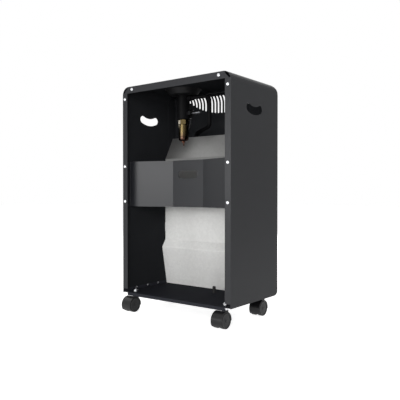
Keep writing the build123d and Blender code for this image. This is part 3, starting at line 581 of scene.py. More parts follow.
# ---------------------------------------------------------------- finishes
@dataclass(frozen=True)
class Finish(ABC):
    """A named surface finish, made into a material once."""

    name: str

    def material(self) -> bpy.types.Material:
        """Find the finish's material, or make it.

        Returns:
            The material.
        """
        found = bpy.data.materials.get(self.name)
        if found is not None:
            return found
        board = MaterialBoard(self.name)
        self.paint(board)
        return board.material

    @abstractmethod
    def paint(self, board: MaterialBoard) -> None:
        """Add the finish's nodes to its board.

        Args:
            board: Node tree of the finish's material.
        """


@dataclass(frozen=True)
class PowderCoat(Finish):
    """Baked powder paint: fine orange peel, faint clouds and a little dust under a clear skin."""

    colour: Colour = (28, 29, 32)
    roughness: float = 0.6
    skin: float = 0.24
    skin_roughness: float = 0.34
    skin_index: float = 2.0
    peel: float = 0.05
    bare_colour: Colour = (33, 34, 36)

    def paint(self, board: MaterialBoard) -> None:
        """Clouds move the colour and the roughness, and the peel makes the bump.

        Args:
            board: Node tree of the finish's material.
        """
        cloud = board.noise(90.0, 3.0)
        peel = board.noise(1.1, 3.0)
        fleck = board.step(board.noise(0.45, 1.0, shift=7.0), 0.62, 0.78)
        bare = self.bare_share(board)
        shade = board.mix(bare, tone(*self.colour), tone(*self.bare_colour))
        board.set(
            Base_Color=board.scaled(shade, 0.9 + 0.2 * cloud + 0.3 * fleck),
            Roughness=self.roughness + 0.1 * cloud + 0.05 * peel,
            Specular_IOR_Level=0.0,
            Coat_Weight=self.skin * (1 - bare),
            Coat_Roughness=self.skin_roughness,
            Coat_IOR=self.skin_index,
            Normal=board.bump(peel, self.peel),
        )

    def bare_share(self, board: MaterialBoard) -> Number:
        """Share of the surface that lacks the clear skin."""
        return 0.0


@dataclass(frozen=True)
class CabinetCoat(PowderCoat):
    """Powder paint on the cabinet's sheets, sprayed thinly and with no gloss on the inner side."""

    half_width: float = 210.0
    front: float = -138.0
    rear: float = 129.0
    top: float = 719.0
    foot: float = 58.0
    side_round: float = 25.0
    crown_round: float = 35.0
    foot_round: float = 22.0
    edge_round: float = 5.0
    sheet: float = 1.2
    pressed_half: float = 165.0
    pressed_span: tuple[float, float] = (104.0, 228.0)
    pressed_depth: float = 2.5
    line_width: float = 1.0
    soft: float = 0.2

    def bare_share(self, board: MaterialBoard) -> Term:
        """1 on the sheets' inner side and 0 on their outer side.

        The depth inside the cabinet's outline is each rounding's radius less the distance
        from its centre line, and those of the crown and the heel count only in front of
        their centre lines. Within the eased edges, the depths under the side and under the
        front are joined as the sides of a right angle. The pressed field's depth is taken off
        within it. Points that lie deeper than half the sheet are on its inner side.

        Args:
            board: Node tree of the finish's material.

        Returns:
            The share.
        """

        def over(value: Term, limit: float) -> Term:
            """What a value has over a limit in millimetres, or zero."""
            return board.math("MAXIMUM", value - limit * MM, 0.0)

        def length(first: Term, second: Term) -> Term:
            """Length over two sides of a right angle."""
            return board.math("SQRT", first * first + second * second, 0.0)

        def past(value: Term, limit: float) -> Term:
            """1 where a value is over a limit in millimetres, and 0 under it."""
            return board.step(value, (limit - self.soft) * MM, (limit + self.soft) * MM)

        def reached(value: Term, line: float) -> Term:
            """Rise from 0 to 1 just past a rounding's centre line."""
            return board.step(value, line * MM, (line + self.line_width) * MM)

        x = board.math("ABSOLUTE", board.along(0), 0.0)
        y, up = board.along(1), board.along(2)
        back, down = 0.0 - y, 0.0 - up
        crown_line, heel_line = -self.front - self.crown_round, -self.front - self.foot_round
        crown = length(over(back, crown_line), over(up, self.top - self.crown_round))
        crown = crown * reached(back, crown_line)
        heel = length(over(back, heel_line), over(down, -self.foot - self.foot_round))
        heel = heel * reached(back, heel_line)
        under_front = board.math(
            "MINIMUM", self.crown_round * MM - crown, self.foot_round * MM - heel
        )
        half = self.sheet / 2
        low, high = self.pressed_span
        pressed = (1 - past(x, self.pressed_half - half)) * past(up, low + half)
        pressed = pressed * (1 - past(up, high - half))
        under_front = under_front - self.pressed_depth * MM * pressed
        side_line, level = self.half_width - self.side_round, self.top - self.side_round
        under_side = self.side_round * MM - length(over(x, side_line), over(up, level))
        ease = self.edge_round * MM
        edge = length(over(ease - under_side, 0.0), over(ease - under_front, 0.0))
        inner = 1 - past(edge, self.edge_round - half)
        return inner * (1 - past(y, self.rear - half))


@dataclass(frozen=True)
class CoatedSheet(Finish):
    """Bright coated steel sheet: soft crystal flakes, rolling lines and faint smudges."""

    colour: Colour = (238, 238, 236)
    metallic: float = 0.1
    roughness: float = 0.5
    flake: float = 7.0

    def paint(self, board: MaterialBoard) -> None:
        """Flakes and smudges move the tone, lines run across, and painted shade and highlight
        scale it.

        Args:
            board: Node tree of the finish's material.
        """
        flake = board.flakes(self.flake)
        line = board.noise(0.8, 2.0, (60, 60, 1))
        smudge = board.noise(48.0, 4.0, shift=2.0)
        shade = board.mix(flake, tone(*self.colour, 0.94), tone(*self.colour, 1.02))
        shade = board.mix(board.step(smudge, 0.5, 0.75) * 0.25, shade, tone(*self.colour, 0.88))
        board.set(
            # The colour is scaled by painted shade and highlight, where the sheet has them.
            Base_Color=board.scaled(shade, self.painted_light_share(board, smudge)),
            Metallic=self.metallic,
            Roughness=self.roughness - 0.04 + 0.08 * flake + 0.06 * smudge,
            Normal=board.bump(0.6 * line + 0.25 * flake, 0.03),
        )

    def painted_light_share(self, board: MaterialBoard, smudge: Term) -> Number:
        """Share of the colour that painted shade and highlight leave, all of it here."""
        return 1.0


@dataclass(frozen=True)
class ShadePaintedSheet(CoatedSheet):
    """Coated sheet with painted shade above the upper fold and on the wall, and a painted
    highlight.
    """

    fold: float = 498.0
    top: float = 575.0
    # Painted shade over the upper fold: colour shares at the fold and at the top.
    fold_shade_share: float = 0.35
    top_shade_share: float = 0.24
    smudge_share: float = 0.08
    # Painted shade over the fold towards the valve's side.
    valve_shade_span: tuple[float, float] = (60.0, 200.0)
    valve_shade_share: float = 0.36
    # Painted shade on the wall behind the band.
    band: tuple[float, float] = (405.0, 425.0)
    band_shade_share: float = 0.3
    # Painted shade on the wall away from its side edge.
    edge_shade_span: tuple[float, float] = (80.0, 200.0)
    wall_shade_share: float = 0.7
    # Painted highlight on the ramp between the lower folds.
    ramp: tuple[float, float] = (190.0, 216.0)
    ramp_highlight_gain: float = 0.1

    def painted_light_share(self, board: MaterialBoard, smudge: Term) -> Number:
        """Share of the colour that painted shade and highlight leave.

        Over the fold, painted shade darkens the sheet with the height and towards the valve's
        side.
        Below it, painted shade darkens the wall away from its side edge and behind the band, and a
        painted highlight lifts the ramp a little.

        Args:
            board: Node tree of the finish's material.
            smudge: The sheet's smudges, from 0 to 1.

        Returns:
            The share.
        """
        fold, (low, high) = self.fold, self.ramp
        # Painted shade over the fold, deeper towards the top and towards the valve's side.
        share = self.fold_shade_share - (self.fold_shade_share - self.top_shade_share) * board.rise(2, fold, self.top)
        share = share + self.smudge_share * (smudge - 0.5)
        share = share * (1 - (1 - self.valve_shade_share) * board.rise(0, *self.valve_shade_span))
        # Painted shade on the wall away from its side edge.
        wall = self.wall_shade_share + (1 - self.wall_shade_share) * board.rise(0, *self.edge_shade_span)
        # Painted highlight on the ramp between the lower folds.
        ramp_highlight_mask = board.rise(2, low - 1, low + 1) * (1 - board.rise(2, high - 1, high + 1))
        wall = wall * (1 + self.ramp_highlight_gain * ramp_highlight_mask)
        # Painted shade on the wall behind the band.
        wall = wall * (1 - (1 - self.band_shade_share) * board.rise(2, *self.band))
        over = board.rise(2, fold - 1, fold + 4)
        return over * share + (1 - over) * wall


@dataclass(frozen=True)
class BareMetal(Finish):
    """Plain or plated metal with fine working lines and a thin uneven stain."""

    colour: Colour = (190, 190, 192)
    stain: Colour = (150, 148, 144)
    roughness: float = 0.32
    lines: float = 0.5
    stain_share: float = 0.5

    def paint(self, board: MaterialBoard) -> None:
        """Stain patches move the colour and dull the gloss, and fine lines make the bump.

        Args:
            board: Node tree of the finish's material.
        """
        patch = board.step(board.noise(11.0, 4.0), 0.4, 0.7)
        line = board.noise(self.lines, 2.0, (12, 12, 1))
        board.set(
            Base_Color=board.mix(patch * self.stain_share, tone(*self.colour), tone(*self.stain)),
            Metallic=1.0,
            Roughness=self.roughness + 0.14 * patch + 0.08 * line,
            Normal=board.bump(line, 0.012),
        )


@dataclass(frozen=True)
class ShadedNozzle(BareMetal):
    """Plated hose nozzle darkened as painted shade, whose nut is painted darker still beside the
    valve.
    """

    nut_side: float = 37.0
    nut_shade_share: float = 0.12

    def paint(self, board: MaterialBoard) -> None:
        """Painted shade darkens the nut, past its shoulder.

        Args:
            board: Node tree of the finish's material.
        """
        super().paint(board)
        # Painted shade on the nut beside the valve body.
        shaded_nut = board.rise(0, self.nut_side - 0.5, self.nut_side + 0.5)
        plain = board.shader.inputs["Base Color"].links[0].from_socket
        board.set(Base_Color=board.scaled(plain, 1 - (1 - self.nut_shade_share) * shaded_nut))


@dataclass(frozen=True)
class ShadedHeatedBrass(Finish):
    """Turned brass darkened as painted shade, whose lower end is tinted red by heat and painted
    darker.
    """

    # Brass tone darkened as painted shade, which keeps its reflections dim.
    colour: Colour = (86, 75, 50)
    # Red heat tint of the lower end, painted darker still as shade.
    heat_tint_and_shade: Colour = (58, 41, 36)
    low: float = 552.0
    high: float = 588.0

    def paint(self, board: MaterialBoard) -> None:
        """The red heat tint and its painted shade fade out upwards, and lathe rings make the bump.

        Args:
            board: Node tree of the finish's material.
        """
        patch = board.noise(9.0, 3.0)
        rings = board.noise(0.35, 1.0, (40, 40, 1))
        height = board.along(2) + 0.012 * (patch - 0.5)
        # The lower end's heat tint and painted shade fade out over this rise.
        upper_share = board.step(height, self.low * MM, self.high * MM)
        board.set(
            Base_Color=board.mix(upper_share, tone(*self.heat_tint_and_shade), tone(*self.colour)),
            Metallic=1.0,
            Roughness=0.12 + 0.14 * patch,
            Normal=board.bump(rings, 0.003),
        )


@dataclass(frozen=True)
class FiredTile(Finish):
    """Unglazed burner tile: chalky, with soft brown scorching round its upper part."""

    colour: Colour = (226, 218, 200)
    scorch: Colour = (176, 150, 122)

    def paint(self, board: MaterialBoard) -> None:
        """Scorch clouds move the colour, and a fine grain makes the bump.

        Args:
            board: Node tree of the finish's material.
        """
        cloud = board.noise(38.0, 4.0)
        grain = board.noise(0.6, 2.0)
        burnt = board.step(board.along(2) + 0.05 * (cloud - 0.5), 0.45, 0.53)
        board.set(
            Base_Color=board.mix(
                0.16 * cloud + 0.34 * burnt * cloud, tone(*self.colour), tone(*self.scorch)
            ),
            Roughness=0.82 + 0.1 * grain,
            Normal=board.bump(grain, 0.05),
        )


@dataclass(frozen=True)
class Moulded(Finish):
    """Moulded plastic or rubber with a fine even grain and lightly rubbed patches."""

    colour: Colour = (40, 40, 42)
    roughness: float = 0.5
    grain: float = 0.7
    depth: float = 0.03
    specular: float = 0.3

    def paint(self, board: MaterialBoard) -> None:
        """Rubbed patches lift the colour and smooth the gloss, and the grain makes the bump.

        Args:
            board: Node tree of the finish's material.
        """
        grain = board.noise(self.grain, 2.0)
        rub = board.step(board.noise(16.0, 3.0), 0.5, 0.8)
        board.set(
            Base_Color=board.mix(0.5 * rub, tone(*self.colour), tone(*self.colour, 1.45)),
            Roughness=self.roughness + 0.08 * grain - 0.06 * rub,
            Specular_IOR_Level=self.specular,
            Normal=board.bump(grain, self.depth),
        )


@dataclass(frozen=True)
class MarkedKnob(Moulded):
    """Moulded plastic with a white pointer line along the grip."""

    middle_x: float = 75.0
    start_y: float = -18.0
    end_y: float = -32.0
    above: float = 725.8
    half_width: float = 0.9

    def paint(self, board: MaterialBoard) -> None:
        """The line is where the grip's top is within half its width of its middle.

        Args:
            board: Node tree of the finish's material.
        """
        super().paint(board)
        across = board.math("ABSOLUTE", board.along(0) - self.middle_x * MM, 0.0)
        inside = 1 - board.step(across, (self.half_width - 0.1) * MM, self.half_width * MM)
        length = board.rise(1, self.end_y, self.end_y + 0.3)
        length = length * (1 - board.rise(1, self.start_y, self.start_y + 0.3))
        top = board.rise(2, self.above - 0.1, self.above)
        plain = board.shader.inputs["Base Color"].links[0].from_socket
        board.set(Base_Color=board.mix(inside * length * top, plain, tone(225, 225, 222)))


PAINT = CabinetCoat("charcoal_cabinet_coat")
BAND_PAINT = PowderCoat("charcoal_band_coat")
TRAY_PAINT = PowderCoat("scuffed_floor_coat", (37, 38, 43), skin=0.06, skin_roughness=0.5)
DULL_BLACK = PowderCoat(
    "dull_black_enamel", (24, 24, 25), skin=0.12, skin_roughness=0.45, peel=0.03
)
VALVE_BLACK = PowderCoat(
    "valve_black_enamel", (13, 13, 14), skin=0.03, skin_roughness=0.4, peel=0.03
)
# Shield sheet with painted shade and a painted highlight in its colour.
SHIELD_STEEL = ShadePaintedSheet("coated_shield_steel")
REFLECTOR_SHEET = CoatedSheet("bright_reflector_sheet", (222, 222, 222), 0.92, 0.24, 14.0)
ZINC = BareMetal("bright_zinc_plate", (226, 227, 230), (196, 198, 200), 0.2)
PRESSED_STEEL = BareMetal("pressed_steel", (150, 150, 152), (112, 108, 102), 0.36, 0.8)
ALUMINIUM_TUBE = BareMetal("aluminium_tube", (202, 203, 204), (176, 177, 178), 0.28)
BRASS = BareMetal("turned_brass", (208, 184, 124), (160, 132, 84), 0.24)
# Zinc plate darkened as painted shade, with painted shade darker still on its nut.
NOZZLE_PLATE = ShadedNozzle("shaded_nozzle_plate", (98, 99, 102), (80, 81, 83), 0.3)
COPPER = BareMetal("heat_darkened_copper", (116, 78, 63), (86, 60, 50), 0.34)
# Brass housing with painted shade in its colour.
SHADED_HOT_BRASS = ShadedHeatedBrass("shaded_heat_tinted_brass")
TILE = FiredTile("fired_burner_tile")
GLAZE = Moulded("glazed_insulator", (226, 222, 212), 0.16, 2.0, 0.01, 0.5)
WHEEL_PLASTIC = Moulded("caster_wheel_plastic", (25, 25, 26), 0.32, specular=0.2)
HOOD_PLASTIC = Moulded("caster_hood_plastic", (20, 20, 21), 0.28, specular=0.25)
KNOB_PLASTIC = MarkedKnob("marked_knob_plastic", (34, 34, 36), 0.45)
RUBBER = Moulded("peg_rubber", (34, 34, 34), 0.72, 0.5, 0.05)


# ---------------------------------------------------------------- pieces
def dress(finish: Finish, *nodes: str) -> None:
    """Give solids of the frame a finish.

    Args:
        finish: The finish.
        nodes: Names of the solids.
    """
    for name in nodes:
        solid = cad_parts[name]
        if not solid.material_slots:
            solid.data.materials.append(finish.material())
        for place in solid.material_slots:
            place.material = finish.material()
    LOG.info("dressed %s in %s", ", ".join(nodes), finish.name)


def add_piece(name: str, parts: Sequence[Surface], finish: Finish, body: str,
              stands_for: Sequence[str], crease: float = 34.0) -> bpy.types.Object:
    """Make one piece of closed surfaces and seat it on its body.

    Args:
        name: Name of the piece.
        parts: Its closed surfaces, in millimetres.
        finish: Its finish.
        body: The body that it rides on.
        stands_for: The solids that it stands for.
        crease: Angle in degrees over which an edge stays sharp.

    Returns:
        The piece.
    """
    whole = Surface.joined([part.welded().outward() for part in parts])
    mesh = bpy.data.meshes.new(name)
    faces = whole.quads.tolist() + whole.triangles.tolist()
    mesh.from_pydata((whole.points * MM).tolist(), [], faces)
    mesh.update()
    mesh.shade_smooth()
    mesh.set_sharp_from_angle(angle=np.radians(crease))
    mesh.materials.append(finish.material())
    piece = bpy.data.objects.new(name, mesh)
    bpy.context.scene.collection.objects.link(piece)
    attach(piece, body)
    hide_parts(*stands_for)
    LOG.info("%s: %d faces on %s", name, len(faces), body)
    return piece


class SubAssembly(ABC):
    """A group of pieces that is built and dressed together."""

    @abstractmethod
    def build(self) -> None:
        """Draw the new pieces and dress the solids that stay."""


@dataclass
class Cabinet(SubAssembly):
    """Painted sheets, the bright heat shield, the rear screws and the floor's peg."""

    body: str = "cabinet"
    rear: float = 129.0
    screw_places: tuple[tuple[float, float], ...] = (
        (-200, 680.5), (-200, 465), (-200, 353), (200, 680.5), (200, 465), (200, 353),
        (-169, 709.5), (169, 709.5),
    )
    screw_radius: float = 4.75
    screw_height: float = 2.6
    shank_radius: float = 2.0
    screw_length: float = 9.0
    cross_half: float = 0.8
    cross_reach: float = 2.9
    cross_depth: float = 1.5
    shield_half: float = 207.0
    shield_sheet: float = 0.8
    shield_line: tuple[tuple[float, float], ...] = (
        (-83, 60.9), (-59, 190), (-76, 216), (-76, 498), (-117, 575),
    )
    shield_bend: float = 4.0
    bend_steps: int = 7
    run_steps: int = 14
    shield_columns: int = 49
    buckle: float = 0.4
    buckle_across: tuple[float, float] = (5.1, 0.8)
    buckle_along: tuple[float, float] = (17.0, 2.2)
    tab_levels: tuple[float, float] = (261.0, 453.0)
    tab_half: float = 15.0
    wing_half: float = 1.4
    wing_rear: float = -76.8
    ear_half: float = 5.0
    ear_inner: float = 207.8
    ear_middle: float = -81.0
    peg: tuple[float, float, float] = (-42.0, -26.0, 60.6)

    def build(self) -> None:
        """Build the shield, the screws and the peg, and dress the sheets."""
        dress(PAINT, "cabinet_wrap", "front_panel")
        dress(BAND_PAINT, "rear_crossbar")
        dress(TRAY_PAINT, "base_tray")
        dress(DULL_BLACK, "window_frame")
        dress(ZINC, "foot_screws")
        self.add_shield()
        self.add_screws()
        self.add_peg()

    def add_shield(self) -> None:
        """Shield: the folded line carried across the cabinet, with a slight buckle.

        The buckle is a product of two slow sine waves, across the sheet and along the line,
        each with its rate and its start or slant. It moves both faces along the line's normal,
        and fades out at the sheet's edges.
        """
        line, left = eased_line(
            self.shield_line, self.shield_bend, self.bend_steps, self.run_steps
        )
        length = np.concatenate([[0], np.cumsum(np.linalg.norm(np.diff(line, axis=0), axis=1))])
        across = np.linspace(-1, 1, self.shield_columns)[:, None]
        along = (length / length[-1])[None, :]
        (rate, start), (slow, slant) = self.buckle_across, self.buckle_along
        wave = np.sin(rate * across + start) * np.sin(slow * along + slant * across)
        wave = self.buckle * wave * (1 - across**6) * np.sin(np.pi * along) ** 0.5
        shift = wave[..., None] * left[None]
        x = np.broadcast_to(across * self.shield_half, wave.shape)[..., None]
        rear = np.concatenate([x, line[None] + shift], axis=-1)
        front = np.concatenate([x, line[None] + shift + self.shield_sheet * left[None]], axis=-1)
        parts = [sheet_between(rear, front)]
        for side in (-1, 1):
            for level in self.tab_levels:
                parts += self.shield_tab(side, level)
        add_piece("shield_sheet", parts, SHIELD_STEEL, self.body,
                  ["heat_shield"])

    def shield_tab(self, side: int, level: float) -> list[Surface]:
        """Ear from the shield's side edge, folded forwards on the side panel, with its rivet.

        Args:
            side: 1 or -1, for the side of the cabinet.
            level: Height of the ear's middle.

        Returns:
            The wing that leaves the sheet, the ear and the rivet.
        """
        thick = self.shield_sheet
        ends = [(0.2, 0.0), (0.0, 0.2), (0.0, thick - 0.2), (0.2, thick)]
        wing = slab(self.wing_half, self.wing_half, 0.2, ends)
        stretch = np.array((1.0, self.tab_half / self.wing_half, 1.0))
        wing.points = (wing.points * stretch)[:, [0, 2, 1]]
        ear = slab(self.tab_half, self.ear_half, 2.0, ends)
        ear.points = ear.points[:, [2, 1, 0]]
        head = [(0, 1.1), (1.2, 1.0), (2.2, 0.5), (2.4, 0), (0, 0)]
        rivet = turned(head, 20).aimed((-side, 0, 0))
        ear_x = self.ear_inner if side > 0 else -self.ear_inner - thick
        wing_x = side * (self.ear_inner + thick - self.wing_half)
        return [
            wing.moved(wing_x, self.wing_rear, level),
            ear.moved(ear_x, self.ear_middle, level),
            rivet.moved(side * self.ear_inner, self.ear_middle, level),
        ]

    def add_screws(self) -> None:
        """Pan-head screws: a turned head and shank, with a cross recess sunk in the head.

        The recess lowers the head where the lesser of |x| and |y| is under half the cross's
        width, and it is deepest in the middle.
        """

        def cross(radius: Array, height: Array, angle: Array) -> tuple[Array, Array]:
            """Radius as it is, and the height less the recess.

            Args:
                radius: Radius of each point.
                height: Height of each point.
                angle: Angle of each point round the axis.

            Returns:
                The new radius and height.
            """
            x, y = np.abs(radius * np.cos(angle)), np.abs(radius * np.sin(angle))
            arm = np.clip((self.cross_half - np.minimum(x, y)) / 0.25, 0, 1)
            reach = np.clip((self.cross_reach - radius) / 0.4, 0, 1)
            top = np.clip((height - 1.8) / 0.1, 0, 1)
            return radius, height - self.cross_depth * arm * reach * top * (1 - 0.2 * radius)

        high, wide = self.screw_height, self.screw_radius
        crown = [(r, high - 0.022 * r * r) for r in np.linspace(0, 3.4, 13)]
        rim = [
            (3.9, high - 0.42), (4.3, high - 0.75), (wide - 0.15, high - 1.3),
            (wide, high - 1.9), (wide, 0.3), (wide - 0.1, 0.0),
        ]
        shank = self.shank_radius
        thread = [(shank - 0.25 * (step % 2), -0.5 * step) for step in range(1, 16)]
        foot = [(shank, 0.0), *thread, (1.2, -8.7), (0, -self.screw_length)]
        screw = turned(crown + rim + foot, 56, cross).aimed((0, 1, 0))
        parts = [screw.moved(x, self.rear, z) for x, z in self.screw_places]
        add_piece("rear_screws", parts, ZINC, self.body, ["flange_screws"], 28.0)

    def add_peg(self) -> None:
        """Peg: a turned rubber buffer with two shallow rings and a domed top."""
        profile = [
            (0, 0), (5.2, 0), (5.5, 0.4), (5.5, 6.0), (5.1, 6.5), (5.1, 7.3), (5.5, 7.8),
            (5.5, 12.6), (5.1, 13.1), (5.1, 13.9), (5.5, 14.4), (5.5, 18.6), (5.2, 20.2),
            (4.3, 21.4), (2.6, 21.9), (0, 22),
        ]
        add_piece("bottle_stop", [turned(profile, 40).moved(*self.peg)], RUBBER,
                  self.body, ["bottle_peg"])


@dataclass
class Casters(SubAssembly):
    """Twin-wheel casters, their threaded studs and nuts."""

    stems: dict[Corner, tuple[float, float]] = field(default_factory=lambda: {
        Corner.REAR_LEFT: (-176.0, 106.4), Corner.REAR_RIGHT: (176.0, 106.4),
        Corner.FRONT_LEFT: (-176.0, -96.0), Corner.FRONT_RIGHT: (176.0, -96.0),
    })
    trail: float = 20.0
    radius: float = 23.0
    inner: float = 6.0
    tread: float = 13.0
    floor: float = 60.6
    thread_pitch: float = 1.25
    thread_depth: float = 0.45

    def build(self) -> None:
        """Build the wheels, studs and nuts, and dress the hoods and axles."""
        numbers = [corner.value[1] for corner in Corner]
        dress(HOOD_PLASTIC, *[f"caster_hood_{number}" for number in numbers])
        dress(PRESSED_STEEL, *[f"caster_axle_{number}" for number in numbers])
        self.add_studs()
        for corner, (x, y) in self.stems.items():
            name, number = corner.value
            for side, sign in (("a", 1), ("b", -1)):
                wheel = self.wheel().aimed((sign, 0, 0))
                wheel = wheel.moved(x + sign * self.inner, y + self.trail, self.radius)
                add_piece(f"wheel_{number}{side}", [wheel], WHEEL_PLASTIC,
                          f"wheel_{name}_{side}", [f"caster_wheel_{number}{side}"])

    def wheel(self) -> Surface:
        """Wheel: one profile turned round the axle, with a capped hub and a hollow back.

        Returns:
            The wheel on Z, with the back of its tread at zero.
        """
        wide, high = self.radius, self.tread
        face = [
            (0, high - 0.3), (3.4, high - 0.35), (4.9, high - 0.7), (5.4, high - 1.3),
            (5.8, high - 1.3), (6.4, high - 0.9), (wide - 6.4, high - 1.3),
            (wide - 4.8, high - 1.35),
            (wide - 4.3, high - 1.1), (wide - 3.9, high - 0.2), (wide - 3.4, high),
            (wide - 1.6, high), (wide - 0.75, high - 0.35),
            (wide - 0.2, high - 1.0), (wide, high - 1.8),
        ]
        back = [
            (wide, 0.9), (wide - 0.25, 0.25), (wide - 0.9, 0), (wide - 3.8, 0),
            (wide - 4.1, 0.3), (wide - 4.4, 9.6), (wide - 4.8, 9.9), (6.9, 9.9), (6.5, 9.6),
            (6.5, 0.2), (6.3, 0), (3.05, 0), (3.05, 11.2), (0, 11.2),
        ]
        return turned(face + back, 96)

    def add_studs(self) -> None:
        """Studs and nuts: a collared stem whose end is threaded, and a chamfered nut on it.

        The thread's radius falls by a triangle wave of the height over the pitch less the
        share of a turn, which makes one helix.
        """
        start, stop, top = self.floor - 1.2, self.floor + 8.4, self.floor + 9.0

        def thread(radius: Array, height: Array, angle: Array) -> tuple[Array, Array]:
            """Radius cut by the thread within its ends, and the height as it is.

            Args:
                radius: Radius of each point.
                height: Height of each point.
                angle: Angle of each point round the axis.

            Returns:
                The new radius and height.
            """
            turn = (height / self.thread_pitch - angle / (2 * np.pi)) % 1
            inside = np.clip((height - start) / 0.3, 0, 1) * np.clip((stop - height) / 0.3, 0, 1)
            groove = self.thread_depth * np.abs(2 * turn - 1) * inside
            return radius - groove * (radius > 3.9), height

        rows = np.arange(start + 0.2, stop, self.thread_pitch / 6)
        profile = [
            (0, 24.2), (3.5, 24.2), (4, 24.7), (4, 48.2), (7.0, 48.2), (7.5, 48.7), (7.5, 58.9),
            (7.0, 59.4), (4, 59.4), *[(4, height) for height in rows],
            (4, stop), (3.4, top), (0, top),
        ]
        stud = turned(profile, 32, thread)
        for name, shape, lift, nodes in (
            ("caster_studs", stud, 0.0, ["caster_stems"]),
            ("stud_nuts", nut(13.0, 6.0, 4.02), self.floor, ["caster_nuts"]),
        ):
            parts = [shape.moved(x, y, lift) for x, y in self.stems.values()]
            add_piece(name, parts, ZINC, "cabinet", nodes)


@dataclass
class Burner(SubAssembly):
    """Three radiant tiles in their trays, the reflector, the manifold and the guard."""

    body: str = "cabinet"
    columns: int = 25
    rows: int = 37
    margin: float = 3.0
    hole_share: float = 0.31
    hole_depth: float = 1.6
    edge: float = 0.8

    def build(self) -> None:
        """Build the tiles and dress the rest."""
        trays = [f"burner_tray_{number}" for number in (1, 2, 3)]
        dress(PRESSED_STEEL, *trays, "burner_cradle", "gas_manifold", "manifold_brackets")
        dress(REFLECTOR_SHEET, "reflector")
        dress(BRASS, "injectors")
        dress(DULL_BLACK, "guard_grille")
        for number in (1, 2, 3):
            self.add_tile(number)

    def add_tile(self, number: int) -> None:
        """Tile: a slab whose face is a square pattern of round pits.

        Each cell joins the eight points round its square to eight on the pit's rim, and those
        to eight at its floor. Rings of points lead from the pattern round the edges to the
        back, and end in its middle.

        Args:
            number: Number of the tile's solid.
        """
        low, high = (np.array(corner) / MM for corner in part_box(f"ceramic_plaque_{number}"))
        half_x, half_z = (high[0] - low[0]) / 2, (high[2] - low[2]) / 2
        span = np.array((half_x - self.margin, half_z - self.margin))
        pitch = span / (self.columns, self.rows) * 2
        middle = np.stack(np.meshgrid(
            (np.arange(self.columns) - (self.columns - 1) / 2) * pitch[0],
            (np.arange(self.rows) - (self.rows - 1) / 2) * pitch[1],
        ), axis=-1).reshape(-1, 1, 2)
        eighth = np.arange(8) * np.pi / 4
        round_ = np.stack((np.cos(eighth), np.sin(eighth)), axis=-1)
        square = np.round(round_ * 1.1) * pitch / 2
        rim = round_ * pitch.min() * self.hole_share
        loops = [(square, 0.0), (rim, 0.0), (0.8 * rim, self.hole_depth)]
        cells = np.stack([
            np.concatenate([(middle + flat), np.full((len(middle), 8, 1), deep)], axis=-1)
            for flat, deep in loops
        ], axis=1)
        count = len(middle)
        ring = np.arange(8)
        nearby = np.stack([ring, (ring + 1) % 8, (ring + 1) % 8 + 8, ring + 8], axis=-1)
        floor = np.array([[0, 1, 2, 3], [0, 3, 4, 7], [4, 5, 6, 7]]) + 16
        one = np.concatenate([nearby, nearby + 8, floor])
        quads = (one[None] + 24 * np.arange(count)[:, None, None]).reshape(-1, 4)
        pits = Surface(cells.reshape(-1, 3), quads)

        def loop(x: float, z: float, deep: float) -> Array:
            """Points round a rectangle, evenly along each side.

            Args:
                x: Half its length.
                z: Half its height.
                deep: How far the points lie behind the tile's face.

            Returns:
                The points, from the lower left corner round.
            """
            a = np.linspace(-1, 1, 2 * self.columns + 1)[:-1]
            b = np.linspace(-1, 1, 2 * self.rows + 1)[:-1]
            one_x = np.concatenate([a, np.ones(len(b)), -a, -np.ones(len(b))]) * x
            one_z = np.concatenate([-np.ones(len(a)), b, np.ones(len(a)), -b]) * z
            return np.stack((one_x, one_z, np.full(len(one_x), deep)), axis=-1)

        thick = high[1] - low[1]
        rings = [
            loop(pitch[0] * self.columns / 2, pitch[1] * self.rows / 2, 0.0),
            loop(half_x - self.edge, half_z - self.edge, 0.0),
            loop(half_x, half_z, self.edge),
            loop(half_x, half_z, thick),
            loop(0.0, 0.0, thick),
        ]
        whole = Surface.joined([pits, Surface.from_grid(np.array(rings))])
        whole.points = whole.points[:, [0, 2, 1]]
        centre = (low + high) / 2
        tile = whole.moved(centre[0], low[1], centre[2])
        add_piece(f"burner_tile_{number}", [tile], TILE, self.body,
                  [f"ceramic_plaque_{number}"])


@dataclass
class PilotGroup(SubAssembly):
    """Pilot burner, its pipe, the thermocouple and the spark electrode."""

    def build(self) -> None:
        """Dress the group's solids."""
        dress(PRESSED_STEEL, "pilot_plate", "pilot_burner")
        dress(ALUMINIUM_TUBE, "pilot_pipe")
        dress(COPPER, "thermocouple")
        dress(GLAZE, "spark_electrode")


